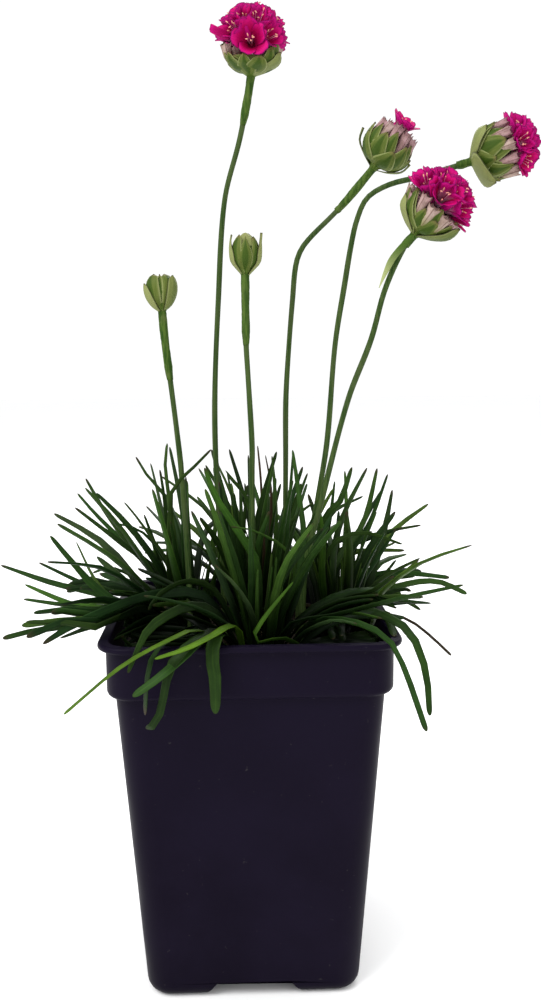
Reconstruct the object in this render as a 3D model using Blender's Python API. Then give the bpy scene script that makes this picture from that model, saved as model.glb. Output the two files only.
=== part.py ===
"""Potted sea thrift: a clump of narrow leaves, four open flower heads and two buds in a deep square pot."""
import math
import random

import bmesh
import bpy
from mathutils import Matrix
from mathutils import Vector
from mathutils.bvhtree import BVHTree

# Sizes in metres
mm = 0.001
gap = 0.3 * mm
merge_distance = 0.002 * mm
flat_angle = math.radians(1.5)

pot_height = 132.5 * mm
lip_width = 102.0 * mm
lip_thickness = 2.2 * mm
lip_corner = 11.0 * mm
band_width = 97.0 * mm
band_bottom = 113.5 * mm
body_top_width = 91.8 * mm
base_width = 76.4 * mm
body_corner = 9.0 * mm
wall = 1.2 * mm
shelf_top = 116.6 * mm
shelf_foot = 113.7 * mm
floor_top = 8.0 * mm
channel_height = 5.5 * mm
channel_width = 30.0 * mm
drain_hole_radius = 4.5 * mm
corner_steps = 3

soil_top = 118.0 * mm
soil_bump = 1.1 * mm
soil_cells = 6

scape_radius = 0.9 * mm
sheath_radius = 1.35 * mm
scape_sides = 6

leaf_thickness = 0.9 * mm
leaf_tip_width = 0.6 * mm
leaf_shoulder = 0.9
leaf_clearance = 0.35 * mm
leaf_root_height = 120.0 * mm
lime_hole_radius = 2.6 * mm

for old in list(bpy.data.objects):
    bpy.data.objects.remove(old)
plant = bpy.data.collections.new("potted_sea_thrift")
cutters = bpy.data.collections.new("cutters")
bpy.context.scene.collection.children.link(plant)
bpy.context.scene.collection.children.link(cutters)


# Meshes and nodes
def principled(name, color, roughness):
    material = bpy.data.materials.new(name)
    material.use_nodes = True
    shader = material.node_tree.nodes["Principled BSDF"]
    shader.inputs["Base Color"].default_value = (*color, 1.0)
    shader.inputs["Roughness"].default_value = roughness
    material.diffuse_color = (*color, 1.0)
    return material


def node(name, bm, material, collection=plant):
    """Object of that name made from the mesh, its faces turned outward."""
    bmesh.ops.recalc_face_normals(bm, faces=bm.faces[:])
    mesh = bpy.data.meshes.new(name)
    bm.to_mesh(mesh)
    bm.free()
    thing = bpy.data.objects.new(name, mesh)
    collection.objects.link(thing)
    if material:
        mesh.materials.append(material)
    return thing


def loft(sections, pointed=False):
    """Closed mesh through rings of places, its ends capped, or the last one drawn to a point."""
    bm = bmesh.new()
    count = len(sections[0])
    ring = bmesh.ops.create_circle(bm, segments=count, radius=1.0, cap_ends=True)["verts"]
    for vert, spot in zip(ring, sections[0]):
        vert.co = spot
    cap = bm.faces[:][0]
    for step, section in enumerate(sections[1:]):
        made = bmesh.ops.extrude_face_region(bm, geom=[cap])["geom"]
        if step:
            bmesh.ops.delete(bm, geom=[cap], context="FACES_ONLY")
        cap = [item for item in made if isinstance(item, bmesh.types.BMFace)][0]
        places = {tuple(vert.co): vert for vert in cap.verts}
        ring = [places[tuple(vert.co)] for vert in ring]
        for vert, spot in zip(ring, section):
            vert.co = spot
    if pointed:
        tip = sum(sections[-1], Vector()) / count
        bmesh.ops.pointmerge(bm, verts=ring, merge_co=tip)
    bmesh.ops.recalc_face_normals(bm, faces=bm.faces[:])
    return bm


def round_section(center, side, up, radius, sides):
    """Places of a round cut across a stem."""
    turns = [2 * math.pi * i / sides for i in range(sides)]
    return [center + side * (radius * math.cos(a)) + up * (radius * math.sin(a)) for a in turns]


def largest_body(bm):
    """Drops loose scraps and closed pockets, which leaves one body."""
    left = set(bm.verts)
    bodies = []
    while left:
        start = left.pop()
        body = {start}
        front = [start]
        while front:
            for edge in front.pop().link_edges:
                for vert in edge.verts:
                    if vert not in body:
                        body.add(vert)
                        front.append(vert)
        left -= body
        bodies.append(body)
    bodies.sort(key=len)
    for body in bodies[:-1]:
        bmesh.ops.delete(bm, geom=list(body), context="VERTS")


def applied(thing, modifier_type, **settings):
    """Mesh of the object after one modifier."""
    modifier = thing.modifiers.new("join", modifier_type)
    for key, value in settings.items():
        setattr(modifier, key, value)
    graph = bpy.context.evaluated_depsgraph_get()
    mesh = bpy.data.meshes.new_from_object(thing.evaluated_get(graph))
    thing.modifiers.remove(modifier)
    return mesh


def without_sheets(bm):
    """Takes out pairs of triangles that lie back to back with nothing between them."""
    paired = True
    while paired:
        seen = {}
        paired = []
        for face in bm.faces:
            corners = frozenset(face.verts)
            if corners in seen:
                paired += [face, seen.pop(corners)]
            else:
                seen[corners] = face
        bmesh.ops.delete(bm, geom=paired, context="FACES")
    bmesh.ops.delete(bm, geom=[edge for edge in bm.edges if not edge.link_faces], context="EDGES")
    bmesh.ops.delete(bm, geom=[vert for vert in bm.verts if not vert.link_faces], context="VERTS")


def fused(name, pieces, material):
    """One node: the first mesh with all the others joined to it."""
    core = node(name, pieces[0], material)
    joined = bpy.data.collections.new(name + "_pieces")
    bpy.context.scene.collection.children.link(joined)
    for index, bm in enumerate(pieces[1:]):
        node(f"{name}_piece_{index}", bm, material, joined)
    mesh = applied(
        core, "BOOLEAN", operation="UNION", operand_type="COLLECTION", collection=joined, solver="EXACT"
    )
    for piece in list(joined.objects):
        bpy.data.objects.remove(piece)
    bpy.data.collections.remove(joined)
    bm = bmesh.new()
    bm.from_mesh(mesh)
    bmesh.ops.remove_doubles(bm, verts=bm.verts[:], dist=merge_distance)
    bmesh.ops.dissolve_degenerate(bm, edges=bm.edges[:], dist=merge_distance)
    bmesh.ops.dissolve_limit(
        bm, angle_limit=flat_angle, verts=bm.verts[:], edges=bm.edges[:], use_dissolve_boundaries=False
    )
    bmesh.ops.triangulate(bm, faces=bm.faces[:])
    without_sheets(bm)
    bmesh.ops.holes_fill(bm, edges=[edge for edge in bm.edges if edge.is_boundary], sides=0)
    bmesh.ops.triangulate(bm, faces=bm.faces[:])
    largest_body(bm)
    bmesh.ops.recalc_face_normals(bm, faces=bm.faces[:])
    core.data.clear_geometry()
    bm.to_mesh(core.data)
    bm.free()
    return core


def cut(thing, cutter_meshes):
    """Takes the cutters' shapes out of the object and keeps them hidden."""
    tools = bpy.data.collections.new(thing.name + "_cutters")
    cutters.children.link(tools)
    for index, bm in enumerate(cutter_meshes):
        tool = node(f"{thing.name}_cutter_{index}", bm, None, tools)
        tool.hide_render = True
        tool.display_type = "WIRE"
    mesh = applied(
        thing, "BOOLEAN", operation="DIFFERENCE", operand_type="COLLECTION", collection=tools, solver="EXACT"
    )
    thing.data.clear_geometry()
    bm = bmesh.new()
    bm.from_mesh(mesh)
    bm.to_mesh(thing.data)
    bm.free()
    for tool in list(tools.objects):
        bpy.data.objects.remove(tool)
    bpy.data.collections.remove(tools)


def tree_of(thing):
    """Search tree over the object's faces."""
    mesh = thing.data
    return BVHTree.FromPolygons([v.co for v in mesh.vertices], [tuple(p.vertices) for p in mesh.polygons])


# Smooth lines
def along(points, shares=None):
    """Places and headings on a smooth line through the points, at shares of its length or at the points."""
    marks = [0.0]
    for a, b in zip(points, points[1:]):
        marks.append(marks[-1] + (b - a).length)
    last = len(points) - 1
    slopes = []
    for i in range(len(points)):
        before = max(i - 1, 0)
        after = min(i + 1, last)
        slopes.append((points[after] - points[before]) / (marks[after] - marks[before]))
    spots = []
    wanted = [marks[-1] * share for share in shares] if shares else marks
    for mark in wanted:
        i = 0
        while i < last - 1 and mark > marks[i + 1]:
            i += 1
        span = marks[i + 1] - marks[i]
        u = (mark - marks[i]) / span
        spot = (
            points[i] * (2 * u**3 - 3 * u**2 + 1)
            + slopes[i] * (span * (u**3 - 2 * u**2 + u))
            + points[i + 1] * (3 * u**2 - 2 * u**3)
            + slopes[i + 1] * (span * (u**3 - u**2))
        )
        heading = (
            (points[i + 1] - points[i]) * ((6 * u - 6 * u**2) / span)
            + slopes[i] * (3 * u**2 - 4 * u + 1)
            + slopes[i + 1] * (3 * u**2 - 2 * u)
        )
        spots.append((spot, heading.normalized()))
    return spots


def stem(points, radii, sides):
    """Round rod along a smooth line through the points, with a radius for each."""
    sections = []
    spots = along(points)
    side = Vector((1.0, 0.0, 0.0))
    for (spot, heading), radius in zip(spots, radii):
        side = (side - heading * side.dot(heading)).normalized()
        sections.append(round_section(spot, side, heading.cross(side), radius, sides))
    return loft(sections)


# Leaves
def leaf_width(t):
    """Share of a leaf's full width at the share t of its length."""
    return min(1.0, 0.6 + 0.9 * t) * min(1.0, ((1.0 - t) / 0.16) ** 0.5)


def leaf(points, width, twist, grow=0.0, rings=0):
    """Keeled leaf blade: flat above, a low keel below, narrower at its foot and pointed."""
    reach = points[-1] - points[0]
    side = Vector((-reach.y, reach.x, 0.0))
    if side.length < 4 * mm:
        side = Vector((1.0, 0.0, 0.0))
    side.normalize()
    rings = rings or max(4, len(points))
    shares = [leaf_shoulder * k / (rings - 2) for k in range(rings - 1)] + [1.0]
    sections = []
    for t, (spot, heading) in zip(shares, along(points, shares)):
        side = (side - heading * side.dot(heading)).normalized()
        turned = Matrix.Rotation(math.radians(twist * (0.3 + 0.7 * t)), 3, heading) @ side
        top = heading.cross(turned)
        half = 0.5 * max(width * leaf_width(t), leaf_tip_width) + grow
        lift = 0.35 * leaf_thickness * (1.0 - 0.35 * t) + grow
        drop = 0.65 * leaf_thickness * (1.0 - 0.35 * t) + grow
        across = turned * half
        sections.append([spot + across + top * lift, spot - across + top * lift, spot - top * drop])
    if grow:
        foot_heading = along(points)[0][1]
        sections[0] = [place - foot_heading * grow for place in sections[0]]
    return loft(sections, pointed=True)


def bristle(root, azimuth, length, start, end, sway):
    """Points of a leaf that leaves its root at one slope and ends at another, in degrees above level."""
    steps = 3
    spot = Vector(root)
    points = [spot.copy()]
    for k in range(steps):
        slope = math.radians(start + (end - start) * (k + 0.5) / steps)
        turn = math.radians(azimuth + sway * (k + 0.5) / steps)
        spot += Vector(
            (math.cos(turn) * math.cos(slope), math.sin(turn) * math.cos(slope), math.sin(slope))
        ) * (length / steps)
        points.append(spot.copy())
    return points


# Materials
pot_plastic = principled("pot_plastic", (0.014, 0.012, 0.022), 0.42)
peat = principled("peat", (0.035, 0.022, 0.014), 0.95)
leaf_green = principled("leaf_green", (0.030, 0.090, 0.022), 0.5)
leaf_deep = principled("leaf_deep_green", (0.018, 0.055, 0.020), 0.5)
leaf_lime = principled("leaf_lime", (0.095, 0.250, 0.020), 0.45)
scape_green = principled("scape_green", (0.035, 0.090, 0.025), 0.5)
bract_green = principled("bract_green", (0.130, 0.210, 0.055), 0.5)
calyx_pink = principled("calyx_pink", (0.450, 0.270, 0.260), 0.6)
petal_magenta = principled("petal_magenta", (0.500, 0.008, 0.200), 0.5)


# Pot
def rounded_square(width, corner, height):
    """Ring of a square with rounded corners, lying level."""
    reach = width / 2 - corner
    ring = []
    for quarter in range(4):
        middle = math.radians(45 + 90 * quarter)
        x = math.copysign(reach, math.cos(middle))
        y = math.copysign(reach, math.sin(middle))
        center = Vector((x, y, height))
        for step in range(corner_steps + 1):
            turn = math.radians(90 * quarter + 90 * step / corner_steps)
            ring.append(center + Vector((math.cos(turn), math.sin(turn), 0.0)) * corner)
    return ring


def body_width(height):
    return base_width + (body_top_width - base_width) * height / band_bottom


band_inside = band_width - 2 * wall
step_inside = body_top_width - 2 * wall
floor_inside = body_width(floor_top) - 2 * wall
pot = node(
    "pot",
    loft(
        [
            rounded_square(base_width - 2 * mm, body_corner - 1 * mm, 0.0),
            rounded_square(body_width(1 * mm), body_corner, 1 * mm),
            rounded_square(body_top_width, body_corner, band_bottom),
            rounded_square(band_width - 1.8 * mm, body_corner, band_bottom),
            rounded_square(band_width, body_corner + 0.9 * mm, band_bottom + 1.2 * mm),
            rounded_square(band_width, body_corner + 0.9 * mm, pot_height - lip_thickness),
            rounded_square(lip_width, lip_corner, pot_height - lip_thickness),
            rounded_square(lip_width, lip_corner, pot_height - 0.5 * mm),
            rounded_square(lip_width - 1 * mm, lip_corner, pot_height),
            rounded_square(band_inside, body_corner - 0.4 * mm, pot_height),
            rounded_square(band_inside, body_corner - 0.4 * mm, shelf_top),
            rounded_square(step_inside, body_corner - 1.2 * mm, shelf_foot),
            rounded_square(floor_inside, body_corner - 1.2 * mm, floor_top),
        ]
    ),
    pot_plastic,
)


def channel(length, quarter_turn):
    """Trapezoid bar that cuts one channel under the pot's floor."""
    low = channel_width / 2 + 3 * mm
    high = channel_width / 2 - 2 * mm
    ends = []
    for x in (-length / 2, length / 2):
        ends.append(
            [
                Vector((x, -low, -2 * mm)),
                Vector((x, low, -2 * mm)),
                Vector((x, low - 1 * mm, 0.4 * mm)),
                Vector((x, high, channel_height)),
                Vector((x, -high, channel_height)),
                Vector((x, -low + 1 * mm, 0.4 * mm)),
            ]
        )
    bm = loft(ends)
    bmesh.ops.rotate(bm, verts=bm.verts[:], matrix=Matrix.Rotation(quarter_turn * math.pi / 2, 3, "Z"))
    return bm


def upright(x, y, radius, bottom, top, sides):
    """Upright round bar."""
    side = Vector((1.0, 0.0, 0.0))
    back = Vector((0.0, 1.0, 0.0))
    return loft([round_section(Vector((x, y, z)), side, back, radius, sides) for z in (bottom, top)])


drain_ring = 26 * mm
drains = [
    upright(drain_ring * x, drain_ring * y, drain_hole_radius, -1 * mm, floor_top + 3 * mm, 8)
    for x, y in ((1, 0), (0, 1), (-1, 0), (0, -1))
]
cut(pot, [channel(2 * base_width, 0)])
cut(pot, [channel(2 * base_width, 1)])
cut(pot, drains)


# Stems: name, points in millimetres from the foot up, length of the sheath below the head
scapes = [
    ("scape_1", [(-8, 3, 104), (-10, 4, 150), (-11.6, 4, 186), (-11.6, 4, 212), (-9.8, 4, 246),
                 (-5.8, 3, 281), (-1.9, 2, 302), (1.5, 1, 316), (2.9, 0, 322.9)], 4),
    ("scape_2", [(16, 15, 104), (14.6, 11, 160), (14.7, 10, 188), (14.9, 10, 210), (16, 10, 228),
                 (17.6, 10, 247), (19, 9.5, 260), (22, 9, 266.5), (32.6, 7, 277), (37, 6, 281.5),
                 (46.5, 4, 292.5)], 17),
    ("scape_3", [(18, -12, 104), (18.4, -14, 142), (25.9, -19, 176), (33.2, -25, 211), (40.3, -30, 231),
                 (45.2, -34, 247), (50.7, -37, 260), (54.1, -38, 264)], 6),
    ("scape_4", [(20, 0, 104), (21.2, 0, 147), (26.1, 0, 174), (29.4, -1, 195), (32.1, -3, 230),
                 (35.4, -5, 252), (36.5, -6, 264), (38.6, -7, 273), (42.6, -9, 280), (49.8, -11, 284),
                 (59.1, -13, 286), (69.5, -17, 288.3), (76.5, -19, 290.1)], 6),
    ("scape_bud_a", [(-21, -15, 104), (-22, -9, 150), (-24, -6, 186), (-25.1, -7, 199), (-26.5, -8, 213),
                     (-27.5, -8.5, 222), (-28.8, -9, 235), (-29.3, -9, 242.6)], 25),
    ("scape_bud_b", [(3, -7, 104), (1.6, -9, 150), (1.6, -10, 185), (1.7, -10, 194), (1.1, -10, 208),
                     (0.4, -10, 221.5), (0, -10, 230), (-0.1, -10, 254.7)], 25),
]
feet = []
standing = []
for name, points, sheath in scapes:
    line = [Vector(p) * mm for p in points]
    left = [sum((b - a).length for a, b in zip(line[k:], line[k + 1:])) / mm for k in range(len(line))]
    radii = [sheath_radius if rest < sheath else scape_radius for rest in left]
    standing.append(node(name, stem(line, radii, scape_sides), scape_green))
    feet.append((line[0], (line[1] - line[0]).normalized()))


# Flower heads: name, foot of the head, where it points, sizes in millimetres
def posed(bm, foot, aim, turn=0.0):
    """Stands a mesh made about the origin on its foot, its own height along the aim."""
    matrix = Vector(aim).to_track_quat("Z", "Y").to_matrix().to_4x4()
    matrix = Matrix.Translation(Vector(foot) * mm) @ matrix @ Matrix.Rotation(math.radians(turn), 4, "Z")
    bmesh.ops.transform(bm, matrix=matrix, verts=bm.verts[:])
    return bm


def bract(profile, azimuth, width, thickness=0.8):
    """Ovate bract that follows a bowl's profile of radius and height, in millimetres."""
    turn = math.radians(azimuth)
    out = Vector((math.cos(turn), math.sin(turn), 0.0))
    across = Vector((-math.sin(turn), math.cos(turn), 0.0))
    sections = []
    spots = along([out * (r * mm) + Vector((0, 0, z * mm)) for r, z in profile])
    for share, (spot, heading) in zip((0.16, 0.72, 1.0, 0.22), spots):
        face = across.cross(heading)
        half = 0.5 * mm * width * share
        bend = half * half / max(2 * math.hypot(spot.x, spot.y), 4 * mm)
        thick = 0.5 * thickness * mm
        inward = out * bend
        left = spot - across * half - inward
        right = spot + across * half - inward
        sections.append([right, spot + face * thick, left, spot - face * thick])
    return loft(sections, pointed=True)


def turned_rings(profile, sides, phase=0.0):
    """Round body about the upright axis from radius and height pairs in millimetres."""
    sections = []
    for radius, height in profile:
        sections.append(
            [
                Vector((radius * math.cos(phase + a), radius * math.sin(phase + a), height)) * mm
                for a in [2 * math.pi * i / sides for i in range(sides)]
            ]
        )
    return loft(sections)


def floret(azimuth, tilt, start, reach, rim, base_height):
    """Funnel of five petals, each with two rounded lobes at its end."""
    rings = []
    for height, radius, gap_share, drop in (
        (start, 0.9, 1.0, 0.0),
        (reach, rim, 0.72, 1.3),
        (start + 0.45 * (reach - start), 1.0, 0.95, 0.0),
    ):
        ring = []
        for petal in range(5):
            for offset, share, fall in ((-36, gap_share, drop), (-15, 1.0, 0.0), (15, 1.0, 0.0)):
                turn = math.radians(petal * 72 + offset)
                spread = radius * share
                ring.append(Vector((spread * math.cos(turn), spread * math.sin(turn), height - fall)) * mm)
        rings.append(ring)
    bm = loft(rings)
    spin = Matrix.Rotation(math.radians(azimuth), 4, "Z") @ Matrix.Rotation(math.radians(tilt), 4, "Y")
    lift = Matrix.Translation(Vector((0, 0, base_height * mm)))
    roll = Matrix.Rotation(math.radians(azimuth * 7), 4, "Z")
    bmesh.ops.transform(bm, matrix=lift @ spin @ roll, verts=bm.verts[:])
    return bm


def calyx(azimuth, tilt, start, reach, mouth, base_height):
    """Five-ribbed papery funnel."""
    rings = []
    for height, radius in (
        (start, 0.8),
        (start + 0.55 * (reach - start), 0.62 * mouth),
        (reach, mouth),
        (reach - 0.8, mouth - 0.8),
    ):
        turns = [math.radians(72 * i) for i in range(5)]
        rings.append([Vector((radius * math.cos(a), radius * math.sin(a), height)) * mm for a in turns])
    bm = loft(rings)
    spin = Matrix.Rotation(math.radians(azimuth), 4, "Z") @ Matrix.Rotation(math.radians(tilt), 4, "Y")
    lift = Matrix.Translation(Vector((0, 0, base_height * mm)))
    bmesh.ops.transform(bm, matrix=lift @ spin, verts=bm.verts[:])
    return bm


def around(count, tilt, reach, mouth):
    """Calyces evenly spaced in one ring."""
    return [(5 + 360 * k / count, tilt, reach, mouth) for k in range(count)]


heads = [
    {
        "name": "1", "foot": (2.9, 0.0, 323.2), "aim": (0.04, -0.10, 1.0), "turn": 0,
        "bowl": [(1.2, 1.5), (6.0, 2.6), (8.7, 5.2), (9.4, 9.0)], "bract": 7.4,
        "florets": [(-92, 62, 11.6, 5.0), (-151, 61, 12.4, 4.9), (-30, 60, 12.4, 5.2), (24, 57, 12.6, 5.0),
                    (80, 58, 12.6, 5.0), (135, 60, 12.4, 4.9), (182, 66, 13.2, 4.6), (-95, 26, 14.0, 5.2),
                    (30, 25, 14.0, 5.2), (150, 25, 14.0, 5.2)],
        "floret_base": 8.6, "ball": 3.5,
        "calyces": around(11, 52, 11.2, 2.1),
    },
    {
        "name": "2", "foot": (46.7, 4.0, 292.8), "aim": (0.57, -0.20, 0.80), "turn": 20,
        "bowl": [(1.2, 1.5), (6.0, 2.9), (8.4, 6.6), (8.0, 12.0)], "bract": 7.2,
        "florets": [(-60, 4, 10.0, 6.0), (130, 40, 5.6, 1.5), (-140, 44, 5.6, 1.4)],
        "floret_base": 10.8, "ball": 2.8,
        "calyces": around(8, 27, 12.4, 1.9) + around(3, 12, 8.0, 1.4),
    },
    {
        "name": "3", "foot": (54.3, -38.0, 264.3), "aim": (0.57, -0.22, 0.80), "turn": 0,
        "bowl": [(1.2, 1.5), (6.0, 2.8), (8.9, 6.0), (9.6, 10.4)], "bract": 7.4,
        "florets": [(-100, 48, 12.0, 5.6), (-35, 56, 12.0, 4.8), (20, 50, 12.0, 4.8), (80, 50, 12.0, 4.8),
                    (140, 46, 12.4, 5.2), (-160, 48, 12.4, 5.2), (-20, 10, 13.0, 5.4)],
        "floret_base": 8.6, "ball": 3.5,
        "calyces": around(11, 48, 11.4, 2.1),
    },
    {
        "name": "4", "foot": (76.8, -19.0, 290.2), "aim": (0.93, -0.18, 0.32), "turn": 10,
        "bowl": [(1.2, 1.5), (5.8, 3.0), (8.4, 6.8), (8.6, 12.0)], "bract": 7.4,
        "florets": [(-90, 46, 10.6, 4.6), (-30, 50, 10.4, 4.6), (30, 46, 10.6, 4.6), (90, 46, 10.4, 4.6),
                    (150, 48, 10.6, 4.6), (-150, 46, 10.6, 4.6), (0, 8, 11.0, 4.8)],
        "floret_base": 10.6, "ball": 3.0,
        "calyces": around(9, 35, 11.8, 1.8),
    },
]
floret_sink = 0.65
calyx_sink = 2.2
calyx_base = 2.6
calyx_shares = (1.0, 0.92, 0.84, 0.76, 0.68, 0.6)
cup_core = [(1.45, 0.3), (5.2, 1.5), (5.0, 2.9)]
calyx_core_top = 7.4
for head in heads:
    foot = head["foot"]
    aim = head["aim"]
    turn = head["turn"]
    pieces = [posed(turned_rings(cup_core, 8), foot, aim, turn)]
    for k in range(5):
        low = [(r + 1.1, z * 0.84) for r, z in head["bowl"]]
        pieces.append(posed(bract(low, 72 * k + 8, head["bract"]), foot, aim, turn))
    for k in range(6):
        pieces.append(posed(bract(head["bowl"], 60 * k + 33, head["bract"]), foot, aim, turn))
    cup = fused("cup_" + head["name"], pieces, bract_green)

    base = head["floret_base"]
    ball = head["ball"]
    core = [(0.55 * ball, base - 0.8 * ball), (ball, base), (0.55 * ball, base + 0.8 * ball)]
    pieces = [posed(turned_rings(core, 8), foot, aim, turn)]
    for azimuth, tilt, reach, rim in head["florets"]:
        pieces.append(posed(floret(azimuth, tilt, floret_sink * ball, reach, rim, base), foot, aim, turn))
    petals = fused("florets_" + head["name"], pieces, petal_magenta)

    walls = [tree_of(cup), tree_of(petals)]
    top = min(calyx_core_top, base - 0.8 * ball - gap / mm)
    core = [(4.0, 3.3), (5.0, 4.2), (4.6, top - 0.6), (3.0, top)]
    pieces = [posed(turned_rings(core, 8), foot, aim, turn)]
    for azimuth, tilt, reach, mouth in head["calyces"]:
        for share in calyx_shares:
            funnel = calyx(azimuth, tilt, calyx_sink, reach * share, mouth * share, calyx_base)
            posed(funnel, foot, aim, turn)
            grown = funnel.copy()
            bmesh.ops.recalc_face_normals(grown, faces=grown.faces[:])
            for vert in grown.verts:
                vert.co += vert.normal * gap
            test = BVHTree.FromBMesh(grown)
            grown.free()
            if not any(test.overlap(other) for other in walls):
                pieces.append(funnel)
                break
            funnel.free()
    calyces = fused("calyces_" + head["name"], pieces, calyx_pink)
    standing += [cup, petals, calyces]


# Buds
buds = [
    ("bud_a", (-29.3, -9.0, 242.9), (-0.05, -0.05, 1.0), 4.6, 11.2, 8),
    ("bud_b", (-0.1, -10.0, 255.0), (0.02, -0.04, 1.0), 4.3, 13.2, 10),
]
for name, foot, aim, radius, height, ear in buds:
    egg = [
        (1.3, 0.0), (0.62 * radius, 0.20 * height), (0.78 * radius, 0.50 * height),
        (0.50 * radius, 0.84 * height), (0.15 * radius, height),
    ]
    pieces = [posed(turned_rings(egg, 8), foot, aim)]
    shell = [(0.7, 0.12 * height), (0.84 * radius, 0.26 * height), (0.98 * radius, 0.56 * height),
             (0.52 * radius, 0.93 * height)]
    for k in range(5):
        pieces.append(posed(bract(shell, 72 * k - 82, 1.14 * radius), foot, aim))
    open_shell = [(0.7, 0.07 * height), (1.02 * radius, 0.22 * height), (1.24 * radius, 0.58 * height),
                  (1.12 * radius, 0.60 * height + 0.45 * ear)]
    for azimuth in (14, 181):
        pieces.append(posed(bract(open_shell, azimuth, 0.9 * radius), foot, aim))
    standing.append(fused(name, pieces, bract_green))


# Soil and where things stand in it: each crown's place, radius and seed of its draws, in millimetres
crown_foot = 108.0
crown_rim = 119.5
crown_top = 122.6
crown_sides = 10
hole_top = 130 * mm
hole_depth_spare = 0.5 * mm
crowns = {
    "front": (4, -25, 11.0, 1),
    "left": (-23, 3, 11.0, 2),
    "right": (34, 4, 10.0, 4),
    "centre": (4, 9, 8.5, 1),
    "back": (6, 33, 9.0, 1),
}
lime_leaves = [
    ("lime_leaf_long", 2.6, 12, [(-13, -40, 112), (-14, -42, 131), (-17, -46, 137.5), (-26, -54, 136.5),
                                 (-40, -63, 131), (-57, -72, 119)]),
    ("lime_leaf_blunt", 3.8, 8, [(-3, -41, 112), (-3, -41, 129), (-5, -44, 138), (-13, -54, 137.2),
                                 (-21, -60, 135), (-30, -63, 133)]),
    ("lime_leaf_bent", 2.2, 50, [(21, -38, 112), (17, -39, 129), (10, -42, 134.5), (4, -45, 133),
                                 (3, -46, 137), (8, -47, 144), (14, -47, 153)]),
]


def soil_spot(u, v, half, corner):
    """Place on the soil's rounded square for a place on a plain one."""
    size = max(abs(u), abs(v))
    if size < 1e-9:
        return 0.0, 0.0
    dx, dy = u / size, v / size
    x, y = dx * half, dy * half
    inner = half - corner
    if abs(x) > inner and abs(y) > inner:
        cx, cy = math.copysign(inner, x), math.copysign(inner, y)
        length = math.hypot(x, y)
        ex, ey = x / length, y / length
        dot = ex * cx + ey * cy
        t = dot + math.sqrt(dot * dot - (cx * cx + cy * cy - corner * corner))
        x, y = ex * t, ey * t
    return x * size, y * size


bm = bmesh.new()
half = band_inside / 2 - gap
corner = body_corner + 1 * mm
bmesh.ops.create_grid(bm, x_segments=soil_cells, y_segments=soil_cells, size=1.0)
draw = random.Random(7)
for vert in bm.verts:
    rim_share = max(abs(vert.co.x), abs(vert.co.y))
    x, y = soil_spot(vert.co.x, vert.co.y, half, corner)
    rise = soil_bump * draw.uniform(-1, 1) * (1 - rim_share**4)
    vert.co = (x, y, soil_top + rise)
for height, width in ((shelf_top, band_inside), (shelf_foot, step_inside), (floor_top + gap, floor_inside)):
    cap = [face for face in bm.faces if all(v.co.z > soil_top - 2 * soil_bump for v in face.verts)]
    if height < shelf_top:
        cap = last_cap
    made = bmesh.ops.extrude_face_region(bm, geom=cap)["geom"]
    if height < shelf_top:
        bmesh.ops.delete(bm, geom=cap, context="FACES_ONLY")
    last_cap = [item for item in made if isinstance(item, bmesh.types.BMFace)]
    for vert in [item for item in made if isinstance(item, bmesh.types.BMVert)]:
        share = (width / 2 - gap) / half
        vert.co = (vert.co.x * share, vert.co.y * share, height)
    half = width / 2 - gap
bmesh.ops.recalc_face_normals(bm, faces=bm.faces[:])
flat = [edge for edge in bm.edges if all(v.co.z < floor_top + 1 * mm for v in edge.verts)]
bmesh.ops.dissolve_limit(
    bm, angle_limit=math.radians(1), verts=[], edges=flat, use_dissolve_boundaries=False
)
soil = node("soil", bm, peat)
holes = []
for foot, heading in feet:
    bottom = foot - heading * hole_depth_spare
    top = foot + heading * ((hole_top - foot.z) / heading.z)
    holes.append(stem([bottom, top], [scape_radius + 2 * gap] * 2, scape_sides))
for name, width, twist, points in lime_leaves:
    x, y, z = points[0]
    holes.append(upright(x * mm, y * mm, lime_hole_radius, z * mm - hole_depth_spare, hole_top, 6))
for x, y, r, seed in crowns.values():
    holes.append(upright(x * mm, y * mm, r * mm + 2 * gap, crown_foot * mm - gap, hole_top, crown_sides))
cut(soil, holes)


# Lime leaves
others = [tree_of(pot), tree_of(soil)] + [tree_of(thing) for thing in standing]
for name, width, twist, points in lime_leaves:
    thing = node(name, leaf([Vector(p) * mm for p in points], width * mm, twist), leaf_lime)
    others.append(tree_of(thing))

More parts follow.
